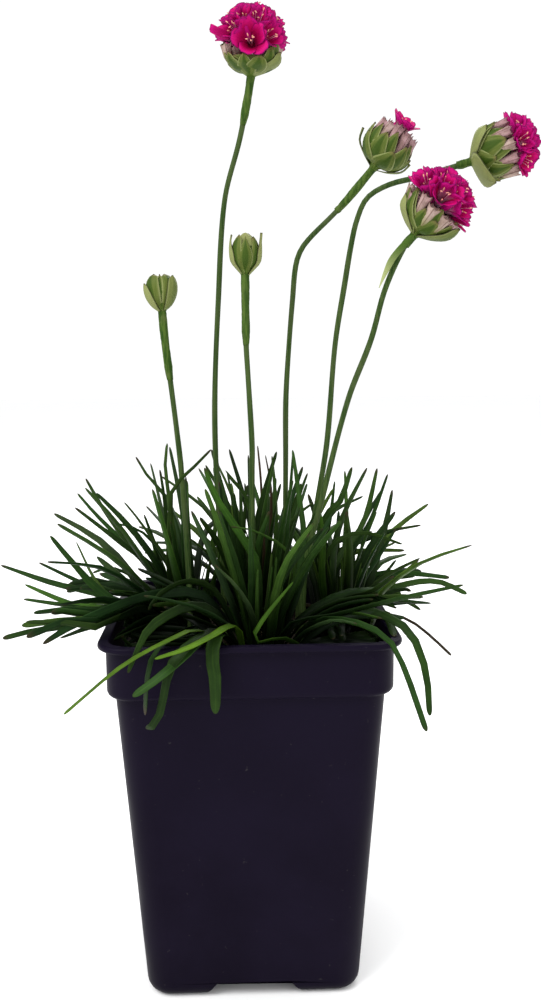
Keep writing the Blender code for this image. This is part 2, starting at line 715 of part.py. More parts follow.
# Leaves seen one by one: crown, width, twist, then the way each takes after its root, in millimetres
placed_leaves = [
    ("left", 2.6, 30, [(-32, 4, 143), (-43, 6, 154), (-53, 8, 167), (-61, 10, 181)]),
    ("left", 2.6, 35, [(-38, 12, 145), (-49, 16, 156), (-59, 18, 166), (-66, 20, 174)]),
    ("left", 2.6, 25, [(-36, 2, 147), (-46, 0, 157), (-55, -2, 165), (-63, -4, 172)]),
    ("left", 2.4, 40, [(-28, 12, 149), (-31, 16, 172), (-38, 18, 180), (-43, 20, 188)]),
    ("left", 2.4, 20, [(-27, 0, 151), (-29, -2, 175), (-30, -3, 188), (-29, -3, 195)]),
    ("left", 2.4, 50, [(-29, 8, 149), (-32, 10, 177), (-33, 10, 184)]),
    ("left", 2.5, 10, [(-29, -8, 149), (-28, -10, 169), (-27, -10, 179), (-20, -9, 186), (-13, -8, 193)]),
    ("left", 2.4, 30, [(-24, 4, 150), (-24, 4, 188)]),
    ("left", 2.2, 45, [(-29, -8, 151), (-34, -10, 160), (-41, -12, 171), (-44, -13, 175)]),
    ("left", 2.4, 30, [(-34, 14, 148), (-40, 16, 166)]),
    ("left", 2.0, 45, [(-27, -6, 143), (-35, -8, 160), (-41, -9, 165), (-48, -10, 167)]),
    ("left", 3.4, 40, [(-40, -6, 130), (-56, -8, 143), (-61, -9, 149), (-71, -11, 163)]),
    ("left", 3.4, 45, [(-45, 0, 130), (-57, 0, 142), (-64, 0, 158)]),
    ("left", 3.0, 45, [(-41, 5, 130), (-57, 6, 135), (-73, 8, 141), (-94.5, 10, 147)]),
    ("left", 2.6, 40, [(-46, 14, 132), (-60, 15, 136), (-82, 17, 146)]),
    ("left", 2.8, 40, [(-44, -9, 134), (-54, -10, 135.5), (-63, -10, 137), (-81, -10, 145)]),
    ("left", 2.8, 40, [(-48, -3, 134), (-66, -3, 135), (-83, -3, 136.5)]),
    ("left", 3.0, 40, [(-40, -24, 137), (-52, -34, 138), (-62, -38, 137), (-73, -40, 136), (-82, -41, 134)]),
    ("left", 3.0, 35, [(-36, -22, 138), (-46, -34, 138), (-54, -40, 137), (-63, -42, 134)]),
    ("left", 4.4, 40, [(-39, 18, 129), (-45, 20, 135), (-60, 24, 148)]),
    ("left", 6.0, 35, [(-39, 20, 132), (-50, 26, 137.5), (-60, 29, 140)]),
    ("left", 1.8, 40, [(-39, 22, 135), (-50, 24, 142), (-56, 25, 143), (-62, 26, 141)]),
    ("centre", 2.4, 30, [(-13, 8, 149), (-11, 10, 170), (-11, 10, 187)]),
    ("centre", 2.4, 40, [(2, 0, 151), (0, -2, 173), (-8, -4, 185)]),
    ("centre", 2.4, 20, [(14, 2, 146), (15, 1, 165), (17, 0, 191)]),
    ("centre", 2.4, 40, [(11, 8, 145), (16, 9, 163), (23, 10, 182)]),
    ("centre", 1.6, 20, [(6, 6, 149), (5, 6, 181), (4, 6, 193)]),
    ("centre", 1.6, 30, [(8, 10, 148), (9, 10, 176), (7, 10, 189)]),
    ("centre", 3.4, 25, [(2, 4, 146), (4, 4, 167), (11, 3, 191)]),
    ("centre", 2.4, 40, [(10, -1, 151), (10, -3, 178), (9, -3, 190)]),
    ("centre", 2.4, 20, [(-2, 7, 149), (0, 8, 178)]),
    ("centre", 2.4, 40, [(2, 11, 148), (1, 12, 170), (-7, 12, 181)]),
    ("centre", 2.4, 30, [(13, 7, 149), (17, 8, 164), (25, 8, 171)]),
    ("right", 3.8, 30, [(27, 4, 149), (29, 4, 166), (34, 3, 171), (39, 2, 185)]),
    ("right", 3.8, 35, [(31, -6, 151), (35, -8, 169), (43, -10, 186)]),
    ("right", 3.0, 30, [(32, 2, 146), (38, 3, 155), (44, 4, 164), (49, 6, 184)]),
    ("right", 2.4, 40, [(34, 8, 144), (41, 9, 153), (47, 10, 163), (54, 12, 181)]),
    ("right", 2.6, 30, [(27, 12, 148), (32, 14, 165), (45, 16, 172)]),
    ("right", 2.0, 50, [(26, -6, 143), (31, -12, 159), (41, -14, 163), (55, -16, 159)]),
    ("right", 2.4, 30, [(45, 8, 141), (50, 9, 149), (57, 10, 160)]),
    ("right", 2.4, 40, [(49, 12, 136), (54, 13, 142), (58, 14, 147)]),
    ("right", 2.4, 45, [(46, 4, 137), (54, 3, 144), (65, 2, 150)]),
    ("right", 2.8, 40, [(45, -4, 137), (54, -5, 143), (63, -6, 151)]),
    ("right", 2.6, 45, [(52, 16, 137), (61, 18, 140), (79, 20, 138)]),
    ("right", 2.8, 45, [(47, 7, 134), (63, 8, 139), (74, 9, 139), (85, 9, 134)]),
    ("right", 2.4, 40, [(47, -3, 136), (54, -4, 138), (59, -5, 135), (64, -6, 132)]),
    ("right", 2.0, 30, [(44, -13, 136), (49, -16, 137), (53, -18, 136)]),
    ("right", 3.4, 40, [(36, -14, 138), (44, -20, 143), (51, -23, 149)]),
    ("right", 2.8, 35, [(36, -24, 135), (44, -31, 136), (51, -35, 137)]),
    ("right", 1.6, 30, [(41, -22, 135), (53, -31, 136), (60, -35, 132), (68, -40, 125)]),
    ("right", 3.2, 35, [(37, -26, 137), (45, -42, 139), (51, -54, 137), (55, -58, 126), (57, -59, 111)]),
    ("right", 2.4, 20, [(29, 14, 147), (32, 15, 163), (34, 16, 178)]),
    ("right", 3.2, 30, [(27, -8, 144), (27, -10, 161), (25, -11, 175)]),
    ("right", 3.2, 50, [(40, 12, 134), (41, 13, 144), (41, 14, 154)]),
    ("right", 2.8, 30, [(44, 16, 137), (45, 18, 154)]),
    ("front", 3.6, 25, [(3, -16, 152), (-3, -18, 164), (-11, -20, 177), (-15, -22, 188)]),
    ("front", 3.8, 40, [(-15, -26, 143), (-34, -34, 146), (-50, -40, 142), (-62, -44, 137), (-68, -45, 133)]),
    ("front", 2.8, 25, [(-12, -22, 144), (-21, -26, 149), (-30, -35, 147), (-34, -38, 142)]),
    ("front", 3.2, 20, [(-11, -32, 139), (-20, -38, 143), (-32, -50, 140), (-36, -56, 134), (-39, -58, 127)]),
    ("front", 3.8, 20, [(-8, -38, 132), (-16, -49, 134.4), (-21, -56, 131.5), (-28, -61, 127),
                        (-37, -63, 121)]),
    ("front", 3.4, 15, [(-14, -36, 132), (-26, -49, 134.8), (-31, -55, 132), (-33, -58, 125),
                        (-34, -58, 113)]),
    ("front", 3.8, 10, [(-10, -37, 132), (-20, -49.8, 135.2), (-25, -56, 130.5), (-28, -58, 118),
                        (-29, -58, 109), (-34, -58, 107)]),
    ("front", 5.0, 5, [(-7, -37, 132), (-11, -49.8, 135.2), (-12, -55.5, 132.2), (-12, -57.5, 124),
                       (-12, -57, 111)]),
    ("front", 2.8, 30, [(13, -37, 136), (29, -40, 140), (54, -37, 145), (73, -34, 148)]),
    ("front", 3.2, 25, [(22, -38, 137), (34, -50, 140), (43, -59, 137), (48, -62, 128), (55, -64, 108)]),
    ("front", 1.8, 30, [(16, -22, 150), (12, -24, 160), (0, -26, 167), (-6, -27, 168)]),
    ("front", 2.8, 30, [(17, -17, 146), (20, -15, 161), (19, -14, 171), (16, -13, 193)]),
    ("back", 3.2, 20, [(2, 48, 139), (-4, 60, 138), (-9, 69, 128), (-12, 72, 114)]),
    ("back", 3.0, 20, [(16, 46, 140), (24, 58, 142), (31, 66, 135), (35, 70, 122)]),
]

# Leaves by rule: crown, how many, azimuth range, then ranges of length, first slope and last slope
grown_leaves = [
    ("left", 11, (110, 250), (48, 74), (76, 88), (35, 78)),
    ("left", 10, (95, 265), (52, 78), (55, 72), (-10, 30)),
    ("left", 9, (140, 320), (40, 62), (44, 60), (-30, 5)),
    ("centre", 12, (0, 360), (56, 74), (82, 90), (52, 84)),
    ("centre", 10, (0, 360), (50, 70), (76, 88), (25, 65)),
    ("right", 9, (-70, 90), (48, 70), (74, 88), (35, 76)),
    ("right", 9, (-70, 100), (50, 72), (55, 70), (-10, 30)),
    ("right", 8, (-110, 60), (36, 54), (48, 60), (-30, 0)),
    ("front", 12, (180, 360), (48, 68), (72, 88), (30, 72)),
    ("front", 12, (170, 370), (36, 56), (56, 70), (-20, 20)),
    ("back", 12, (20, 160), (50, 76), (74, 88), (25, 72)),
    ("back", 10, (10, 170), (52, 76), (55, 72), (-35, 15)),
]
reach_x = 92 * mm
reach_y = 71 * mm
reach_z = 197 * mm
golden_turn = math.radians(137.5)
grown_rings = 4
placed_tries = 60
placed_choices = 10
grown_choices = 30
try_push = 0.12 * mm
leaf_sway = 55
spare_spots = 3
root_inset = 1.3
steepest_leaf = 88.0


def root_place(crown, stand, turn):
    """Place of a leaf's root at that distance and direction from the crown's middle."""
    x, y, r, seed = crowns[crown]
    return Vector(((x + stand * math.cos(turn)) * mm, (y + stand * math.sin(turn)) * mm, leaf_root_height))


def crown_spots(crown, count):
    """Root places on the crown, evenly spread as in a spiral rosette."""
    reach = crowns[crown][2] - root_inset
    return [root_place(crown, reach * math.sqrt((k + 0.5) / count), k * golden_turn) for k in range(count)]


def free_spot(crown, spots, azimuth, slope):
    """The free root place that suits a leaf: low leaves stand at the rim, steep ones in the middle."""
    reach = crowns[crown][2] - root_inset
    wish = root_place(crown, reach * max(0.0, 1.0 - slope / steepest_leaf) ** 0.6, azimuth)
    return min(spots, key=lambda spot: (spot - wish).length)


def crossings(points, width, twist, rings, neighbours):
    """How many leaves of its own tuft a leaf meets, or nothing where it comes too near another node."""
    test_mesh = leaf(points, width, twist, leaf_clearance, rings)
    test = BVHTree.FromBMesh(test_mesh)
    test_mesh.free()
    if any(test.overlap(other) for other in others):
        return None
    return sum(1 for neighbour in neighbours if test.overlap(neighbour))


def placed_choice(entry, spots, draw, neighbours):
    """A leaf's own way, shifted no more than needed to pass the other nodes."""
    crown, width, twist, way = entry
    x, y, r, seed = crowns[crown]
    best = None
    found = 0
    for attempt in range(placed_tries):
        push = attempt * try_push
        moved = []
        for k, place in enumerate(way):
            loose = push * (0.5 if k == len(way) - 1 else 1.0)
            shift = Vector((draw.uniform(-0.4, 0.4), draw.uniform(-1, 1), draw.uniform(-0.3, 0.8)))
            moved.append(Vector(place) * mm + shift * loose)
        out = moved[0] - Vector((x * mm, y * mm, leaf_root_height))
        slope = math.degrees(math.atan2(out.z, math.hypot(out.x, out.y)))
        root = free_spot(crown, spots, math.atan2(out.y, out.x), slope)
        turned = twist * (1 if draw.random() < 0.5 else -1)
        points = [root] + moved
        met = crossings(points, width * mm, turned, 0, neighbours)
        if met is None:
            continue
        if best is None or met < best[0]:
            best = (met, root, points, width * mm, turned, 0)
        found += 1
        if found == placed_choices:
            break
    return best


def grown_choice(rule, spots, draw, neighbours):
    """The freest of several leaves drawn by one rule."""
    crown, count, azimuths, lengths, starts, ends = rule
    best = None
    for attempt in range(grown_choices):
        azimuth = draw.uniform(*azimuths)
        slope = draw.uniform(*starts)
        end = draw.uniform(*ends)
        root = free_spot(crown, spots, math.radians(azimuth), 0.5 * (slope + end))
        sway = draw.uniform(-leaf_sway, leaf_sway)
        points = bristle(root, azimuth, draw.uniform(*lengths) * mm, slope, end, sway)
        width = draw.uniform(2.5, 3.9) * mm
        twist = draw.uniform(-70, 70)
        tip = points[-1]
        if abs(tip.x) > reach_x or abs(tip.y) > reach_y or max(p.z for p in points) > reach_z:
            continue
        met = crossings(points, width, twist, grown_rings, neighbours)
        if met is not None and (best is None or met < best[0]):
            best = (met, root, points, width, twist, grown_rings)
    return best


shades = {
    "left": leaf_green,
    "centre": leaf_deep,
    "right": leaf_green,
    "front": leaf_green,
    "back": leaf_deep,
}
for crown, (x, y, r, seed) in crowns.items():
    draw = random.Random(seed)
    dome = turned_rings([(r, crown_foot), (r, crown_rim), (r * 0.8, crown_top)], crown_sides)
    bmesh.ops.translate(dome, verts=dome.verts[:], vec=(x * mm, y * mm, 0.0))
    pieces = [dome]
    placed = [entry for entry in placed_leaves if entry[0] == crown]
    rules = [rule for rule in grown_leaves if rule[0] == crown for k in range(rule[1])]
    spots = crown_spots(crown, len(placed) + len(rules) + spare_spots)
    neighbours = []
    for chooser, wishes in ((placed_choice, placed), (grown_choice, rules)):
        for wish in wishes:
            choice = chooser(wish, spots, draw, neighbours)
            if choice is None:
                raise ValueError(f"no room for a leaf of the {crown} tuft: {wish}")
            met, root, points, width, twist, rings = choice
            spots.remove(root)
            blade = leaf(points, width, twist, 0.0, rings)
            neighbours.append(BVHTree.FromBMesh(blade))
            pieces.append(blade)
    tuft = fused("tuft_" + crown, pieces, shades[crown])
    others.append(tree_of(tuft))
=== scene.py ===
"""Potted sea thrift: four open heads and two buds over a clump of narrow leaves in a deep pot."""
import math
import random

import bmesh
import bpy
from mathutils import Euler
from mathutils import Matrix
from mathutils import Vector
from mathutils import noise
from mathutils.bvhtree import BVHTree


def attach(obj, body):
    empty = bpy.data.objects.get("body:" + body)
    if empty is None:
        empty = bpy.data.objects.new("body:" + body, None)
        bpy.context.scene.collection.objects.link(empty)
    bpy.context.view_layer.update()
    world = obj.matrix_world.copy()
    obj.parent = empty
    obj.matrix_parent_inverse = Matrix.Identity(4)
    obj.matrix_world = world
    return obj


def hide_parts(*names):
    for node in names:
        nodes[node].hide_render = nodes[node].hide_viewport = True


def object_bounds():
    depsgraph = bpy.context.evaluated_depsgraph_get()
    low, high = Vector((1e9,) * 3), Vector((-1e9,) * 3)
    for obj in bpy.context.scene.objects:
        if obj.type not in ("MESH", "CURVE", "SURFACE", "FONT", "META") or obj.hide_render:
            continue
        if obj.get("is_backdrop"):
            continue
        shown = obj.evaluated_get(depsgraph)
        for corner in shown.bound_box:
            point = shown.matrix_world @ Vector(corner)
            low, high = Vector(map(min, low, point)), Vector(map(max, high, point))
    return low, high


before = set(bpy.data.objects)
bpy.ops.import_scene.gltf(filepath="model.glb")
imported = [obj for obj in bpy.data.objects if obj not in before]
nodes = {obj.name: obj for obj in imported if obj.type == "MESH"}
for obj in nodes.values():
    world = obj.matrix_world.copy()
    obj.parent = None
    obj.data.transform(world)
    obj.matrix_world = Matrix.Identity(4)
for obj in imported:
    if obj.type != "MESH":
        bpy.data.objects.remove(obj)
cad_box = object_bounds()
mm = 0.001

# Camera, light and floor. The lens stands a little above the leaves and looks down by 8 degrees.
# A large soft light stands high on the left, a weaker one on the right and one behind, and the pot
# stands on a plain pale table.
camera_place = Vector((-3.387, -348.573, 223.483)) * mm
camera_yaw = -0.034
camera_pitch = 0.143
camera_roll = -0.008
lens = bpy.data.cameras.new("camera")
lens.sensor_width = 36.0
lens.lens = 34.2
lens.clip_start = 0.01
camera = bpy.data.objects.new("camera", lens)
camera.matrix_world = (
    Matrix.Translation(camera_place)
    @ Matrix.Rotation(camera_yaw, 4, "Z")
    @ Matrix.Rotation(math.pi / 2 - camera_pitch, 4, "X")
    @ Matrix.Rotation(camera_roll, 4, "Z")
)
bpy.context.scene.collection.objects.link(camera)
bpy.context.scene.camera = camera
bpy.context.scene.view_settings.view_transform = "Standard"

sky = bpy.data.worlds.new("studio")
sky.use_nodes = True
sky.node_tree.nodes["Background"].inputs["Color"].default_value = (0.99, 0.993, 1.0, 1.0)
sky.node_tree.nodes["Background"].inputs["Strength"].default_value = 1.06
bpy.context.scene.world = sky
for name, place, size, power in (
    ("key_light", (-0.75, -0.65, 1.25), 0.7, 16.0),
    ("fill_light", (0.95, -0.75, 0.75), 0.9, 3.0),
    ("back_light", (0.25, 0.95, 1.05), 0.8, 9.0),
):
    glow = bpy.data.lights.new(name, "AREA")
    glow.size = size
    glow.energy = power
    lamp = bpy.data.objects.new(name, glow)
    aim = Vector((0.0, 0.0, 0.18)) - Vector(place)
    turned = aim.to_track_quat("-Z", "Y").to_matrix().to_4x4()
    lamp.matrix_world = Matrix.Translation(place) @ turned
    bpy.context.scene.collection.objects.link(lamp)


def add(tree, kind, inputs=(), **settings):
    """Adds one shading node, with values or links for its inputs."""
    made = tree.nodes.new("ShaderNode" + kind)
    for key, value in settings.items():
        setattr(made, key, value)
    for key, value in dict(inputs).items():
        if isinstance(value, bpy.types.NodeSocket):
            tree.links.new(value, made.inputs[key])
        else:
            made.inputs[key].default_value = value
    return made


def finish_of(name, roughness, specular):
    """New material, its node tree, its shader and the place on its object."""
    material = bpy.data.materials.new(name)
    material.use_nodes = True
    tree = material.node_tree
    shader = tree.nodes["Principled BSDF"]
    shader.inputs["Roughness"].default_value = roughness
    shader.inputs["Specular IOR Level"].default_value = specular
    return material, tree, shader, add(tree, "TexCoord").outputs["Object"]


def blended(tree, share, first, second, mode="MIX"):
    """Two colours mixed by a share."""
    first, second = [(*tone, 1.0) if isinstance(tone, tuple) else tone for tone in (first, second)]
    inputs = {0: share, 6: first, 7: second}
    return add(tree, "Mix", inputs, data_type="RGBA", blend_type=mode).outputs[2]


def calc(tree, operation, first, second=0.0):
    """One sum of two values."""
    return add(tree, "Math", {0: first, 1: second}, operation=operation).outputs[0]


def rising(tree, value, low, high, start=0.0, end=1.0):
    """Goes smoothly from start to end while the value goes from low to high."""
    settings = {"Value": value, "From Min": low, "From Max": high, "To Min": start, "To Max": end}
    return add(tree, "MapRange", settings, interpolation_type="SMOOTHSTEP").outputs["Result"]


def speckle(tree, place, scale, detail=3.0, roughness=0.55):
    """Cloudy noise over a place."""
    settings = {"Vector": place, "Scale": scale, "Detail": detail, "Roughness": roughness}
    return add(tree, "TexNoise", settings).outputs[0]


def painted(tree, tone, *coats):
    """Colours laid over a tone, each as far as its value has risen between two marks."""
    for colour, value, low, high, *more in coats:
        tone = blended(tree, rising(tree, value, low, high, *more[:2]), tone, colour, *more[2:])
    return tone


def finished(tree, shader, tone, height=None, strength=0.0, distance=0.0):
    """Gives the shader its colour, and fine relief from a height."""
    tree.links.new(tone, shader.inputs["Base Color"])
    if height is not None:
        bump = add(tree, "Bump", {"Height": height, "Strength": strength, "Distance": distance})
        tree.links.new(bump.outputs[0], shader.inputs["Normal"])


def stood(name, bm, *materials):
    """Object of that name with the mesh, in the scene."""
    mesh = bpy.data.meshes.new(name)
    bm.to_mesh(mesh)
    bm.free()
    for material in materials:
        mesh.materials.append(material)
    thing = bpy.data.objects.new(name, mesh)
    bpy.context.scene.collection.objects.link(thing)
    return thing


table_top, tree, shader, place = finish_of("pale_table", 0.8, 0.1)
tone = blended(tree, speckle(tree, place, 9.0), (0.93, 0.93, 0.93), (0.96, 0.96, 0.955))
finished(tree, shader, tone)
bm = bmesh.new()
bmesh.ops.create_grid(bm, x_segments=2, y_segments=2, size=6.0)
bmesh.ops.translate(bm, verts=bm.verts[:], vec=(0.0, 0.0, -0.05 * mm))
stood("table", bm, table_top)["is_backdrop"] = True

# Pot: a deep square nursery pot, blow-moulded or injected in thin dark plastic. A rolled lip stands
# on a wider band, the tapered body has rounded corners, and two channels cross under its floor
# with four drain holes in them.
pot_height = 132.5 * mm
lip_width = 102.0 * mm
lip_thickness = 2.2 * mm
lip_corner = 11.0 * mm
band_width = 97.0 * mm
band_bottom = 113.5 * mm
body_top_width = 91.8 * mm
base_width = 76.4 * mm
body_corner = 9.0 * mm
wall = 1.2 * mm
shelf_top = 116.6 * mm
shelf_foot = 113.7 * mm
floor_top = 8.0 * mm
channel_height = 5.5 * mm
channel_width = 30.0 * mm
drain_ring = 26.0 * mm
drain_hole_radius = 4.5 * mm
drill_depth = 24.0 * mm
channel_flare = 3.0 * mm
channel_draft = 2.0 * mm
edge_bevel = 0.5 * mm
sharp_angle = math.radians(38)
corner_steps = 8
side_margin = 0.7 * mm
base_round = 4.6 * mm
band_round = 2.0 * mm
lip_round = 0.9 * mm
round_steps = 5


def rounded_square(width, corner, height):
    """Level ring of a square with rounded corners, an extra place on each side of a corner."""
    reach = width / 2 - corner
    ring = []
    for quarter in range(4):
        middle = math.radians(45 + 90 * quarter)
        x, y = math.copysign(reach, math.cos(middle)), math.copysign(reach, math.sin(middle))
        center = Vector((x, y, height))
        steps = range(corner_steps + 1)
        turns = [math.radians(90 * quarter + 90 * step / corner_steps) for step in steps]
        arc = [center + Vector((math.cos(turn), math.sin(turn), 0.0)) * corner for turn in turns]
        before = Vector((math.sin(turns[0]), -math.cos(turns[0]), 0.0)) * side_margin
        after = Vector((-math.sin(turns[-1]), math.cos(turns[-1]), 0.0)) * side_margin
        ring += [arc[0] + before] + arc + [arc[-1] + after]
    return ring


def loft(sections, pointed=False):
    """Closed mesh through rings of places, its ends capped, or the last one drawn to a point."""
    bm = bmesh.new()
    count = len(sections[0])
    ring = bmesh.ops.create_circle(bm, segments=count, radius=1.0, cap_ends=True)["verts"]
    for vert, spot in zip(ring, sections[0]):
        vert.co = spot
    cap = bm.faces[:][0]
    for step, section in enumerate(sections[1:]):
        made = bmesh.ops.extrude_face_region(bm, geom=[cap])["geom"]
        if step:
            bmesh.ops.delete(bm, geom=[cap], context="FACES_ONLY")
        cap = [item for item in made if isinstance(item, bmesh.types.BMFace)][0]
        places = {tuple(vert.co): vert for vert in cap.verts}
        ring = [places[tuple(vert.co)] for vert in ring]
        for vert, spot in zip(ring, section):
            vert.co = spot
    if pointed:
        tip = sum(sections[-1], Vector()) / count
        bmesh.ops.pointmerge(bm, verts=ring, merge_co=tip)
    bmesh.ops.recalc_face_normals(bm, faces=bm.faces[:])
    return bm


def piece(name, bm, material, slot, *replaced):
    """Object of that name that rides on the pot and stands for the CAD nodes named."""
    thing = stood(name, bm, material)
    thing.data.polygons.foreach_set("use_smooth", [True] * len(thing.data.polygons))
    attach(thing, "root")
    if replaced:
        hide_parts(*replaced)
    return thing


def modified(thing, kind, **settings):
    """Bakes one modifier into the object's mesh."""
    modifier = thing.modifiers.new("shape", kind)
    for key, value in settings.items():
        setattr(modifier, key, value)
    graph = bpy.context.evaluated_depsgraph_get()
    mesh = bpy.data.meshes.new_from_object(thing.evaluated_get(graph))
    thing.modifiers.remove(modifier)
    thing.data = mesh


def cut_out(thing, bm):
    """Cuts a closed mesh out of the object."""
    cutter = stood("cutter", bm)
    modified(thing, "BOOLEAN", operation="DIFFERENCE", object=cutter, solver="EXACT")
    bpy.data.objects.remove(cutter)


def body_width(height):
    """Width of the tapered body at a height."""
    return base_width + (body_top_width - base_width) * height / band_bottom


def edge_round(width, corner, height, radius, way):
    """Rings of a rounded edge: way -1 turns outward going up, 1 turns inward going up."""
    rings = []
    for step in range(round_steps + 1):
        turn = math.radians(90 * step / round_steps)
        if way < 0:
            back, rise = 1 - math.sin(turn), 1 - math.cos(turn)
        else:
            back, rise = 1 - math.cos(turn), math.sin(turn)
        near = (width - 2 * radius * back, corner - radius * back, height + radius * rise)
        rings.append(rounded_square(*near))
    return rings


band_inside = band_width - 2 * wall
step_inside = body_top_width - 2 * wall
floor_inside = body_width(floor_top) - 2 * wall
lip_bottom = pot_height - lip_thickness
sections = [
    rounded_square(base_width - 2 * base_round - 2 * mm, body_corner - base_round - 1 * mm, 0.0)
]
sections += edge_round(body_width(base_round), body_corner, 0.0, base_round, -1)
sections += [rounded_square(*ring) for ring in (
    (body_width(base_round + 1 * mm), body_corner, base_round + 1 * mm),
    (body_width(60 * mm), body_corner, 60 * mm),
    (body_width(band_bottom - 1.4 * mm), body_corner, band_bottom - 1.4 * mm),
    (body_top_width, body_corner, band_bottom - 0.5 * mm),
    (body_top_width + 0.5 * mm, body_corner + 0.2 * mm, band_bottom),
)]
sections += edge_round(band_width, body_corner + 0.9 * mm, band_bottom, band_round, -1)
sections += [rounded_square(*ring) for ring in (
    (band_width, body_corner + 0.9 * mm, band_bottom + band_round + 0.8 * mm),
    (band_width, body_corner + 0.9 * mm, lip_bottom - 1.2 * mm),
    (band_width + 0.2 * mm, body_corner + 0.9 * mm, lip_bottom - 0.4 * mm),
    (band_width + 1.0 * mm, body_corner + 1.2 * mm, lip_bottom),
)]
sections += edge_round(lip_width, lip_corner, lip_bottom, lip_round, -1)
sections += edge_round(lip_width, lip_corner, pot_height - lip_round, lip_round, 1)
sections += [rounded_square(*ring) for ring in (
    (band_inside + 1.6 * mm, body_corner + 0.4 * mm, pot_height),
    (band_inside + 0.4 * mm, body_corner - 0.2 * mm, pot_height - 0.3 * mm),
    (band_inside, body_corner - 0.4 * mm, pot_height - 1.0 * mm),
    (band_inside, body_corner - 0.4 * mm, shelf_top),
    (step_inside, body_corner - 1.2 * mm, shelf_foot),
    (floor_inside, body_corner - 1.2 * mm, floor_top),
)]
plastic, tree, shader, place = finish_of("moulded_plastic", 0.42, 0.04)
cloud = speckle(tree, place, 30.0, 5.0)
grain = speckle(tree, place, 900.0, 2.0)
dust = rising(tree, speckle(tree, place, 420.0, 2.0, 0.7), 0.70, 0.78)
painted_light_height = add(tree, "SeparateXYZ", {0: place}).outputs["Z"]
tone = painted(
    tree, (0.0036, 0.0020, 0.0074),
    ((0.0054, 0.0034, 0.0108), cloud, 0.35, 0.7),
    # Painted light: this coat makes the pot lighter towards its top, as if lit from above.
    ((0.0056, 0.0036, 0.0112), painted_light_height, 0.0, 0.13, 0.0, 0.6),
)
tone = blended(tree, calc(tree, "MULTIPLY", dust, 0.30), tone, (0.06, 0.055, 0.055))
tree.links.new(rising(tree, cloud, 0.3, 0.7, 0.36, 0.50), shader.inputs["Roughness"])
finished(tree, shader, tone, grain, 0.12, 0.0001)

pot = piece("pot_shell", loft(sections), plastic, "pot_plastic", "pot")
low = channel_width / 2 + channel_flare
lead = low - 1 * mm
high = channel_width / 2 - channel_draft
for index in range(2):
    outline = [(-low, -2 * mm), (low, -2 * mm), (lead, 0.4 * mm), (high, channel_height),
               (-high, channel_height), (-lead, 0.4 * mm)]
    bar = loft([[Vector((x, y, z)) for y, z in outline] for x in (-base_width, base_width)])
    bmesh.ops.rotate(bar, verts=bar.verts[:], matrix=Matrix.Rotation(index * math.pi / 2, 3, "Z"))
    cut_out(pot, bar)
for x, y in ((1, 0), (0, 1), (-1, 0), (0, -1)):
    bm = bmesh.new()
    bmesh.ops.create_cone(
        bm, cap_ends=True, segments=24, radius1=drain_hole_radius, radius2=drain_hole_radius,
        depth=drill_depth,
    )
    bmesh.ops.translate(bm, verts=bm.verts[:], vec=(drain_ring * x, drain_ring * y, 3 * mm))
    cut_out(pot, bm)
modified(pot, "BEVEL", width=edge_bevel, segments=2, limit_method="ANGLE", angle_limit=sharp_angle)
modified(pot, "WEIGHTED_NORMAL", keep_sharp=True)

# Soil: dark peat mix that fills the pot to 15 mm under its rim and holds the crowns and stems. Its
# top is crumbly, with short fibres and a few pale grains of perlite lying on it.
soil_top = 118.0 * mm
soil_bump = 1.1 * mm
soil_cells = 46
soil_corner = body_corner + 1 * mm
soil_gap = 0.3 * mm
crumb_count = 160
crumb_size = (0.4, 1.5)
perlite_count = 26
perlite_size = (0.4, 0.9)
fibre_count = 90
fibre_size = (1.2, 3.4)
fibre_radius = 0.14 * mm
full_turn = 6.28


def soil_spot(u, v, half, corner):
    """Place on the soil's rounded square for a place on a plain one."""
    size = max(abs(u), abs(v))
    if size < 1e-9:
        return 0.0, 0.0
    dx, dy = u / size, v / size
    x, y = dx * half, dy * half
    inner = half - corner
    if abs(x) > inner and abs(y) > inner:
        cx, cy = math.copysign(inner, x), math.copysign(inner, y)
        length = math.hypot(x, y)
        ex, ey = x / length, y / length
        dot = ex * cx + ey * cy
        t = dot + math.sqrt(dot * dot - (cx * cx + cy * cy - corner * corner))
        x, y = ex * t, ey * t
    return x * size, y * size


def soil_height(x, y):
    """Height of the crumbly top at a place."""
    spot = Vector((x, y, 0.0))
    coarse = noise.noise(spot * 70.0) * 1.0
    fine = noise.turbulence(spot * 420.0, 3, False) * 0.55
    return soil_top + soil_bump * (coarse + fine - 0.3)


peat, tree, shader, place = finish_of("peat_mix", 0.95, 0.15)
crumb = speckle(tree, place, 600.0, 6.0, 0.7)
patch = speckle(tree, place, 60.0, 3.0)
tone = painted(
    tree, (0.006, 0.004, 0.003),
    ((0.030, 0.019, 0.011), crumb, 0.35, 0.7),
    ((0.045, 0.029, 0.017), patch, 0.5, 0.8, 0.0, 0.5),
)
finished(tree, shader, tone, crumb, 0.9, 0.0012)

bm = bmesh.new()
half = band_inside / 2 - soil_gap
bmesh.ops.create_grid(bm, x_segments=soil_cells, y_segments=soil_cells, size=1.0)
cap = bm.faces[:]
for vert in bm.verts:
    rim_share = max(abs(vert.co.x), abs(vert.co.y))
    x, y = soil_spot(vert.co.x, vert.co.y, half, soil_corner)
    rise = (soil_height(x, y) - soil_top) * (1 - rim_share**6)
    vert.co = (x, y, soil_top + rise)
loose_half = 0.94 * half
first = True
levels = ((shelf_top, band_inside), (shelf_foot, step_inside), (floor_top + soil_gap, floor_inside))
for height, width in levels:
    made = bmesh.ops.extrude_face_region(bm, geom=cap)["geom"]
    if not first:
        bmesh.ops.delete(bm, geom=cap, context="FACES")
    first = False
    cap = [item for item in made if isinstance(item, bmesh.types.BMFace)]
    share = (width / 2 - soil_gap) / half
    for vert in [item for item in made if isinstance(item, bmesh.types.BMVert)]:
        vert.co = (vert.co.x * share, vert.co.y * share, height)
    half = width / 2 - soil_gap
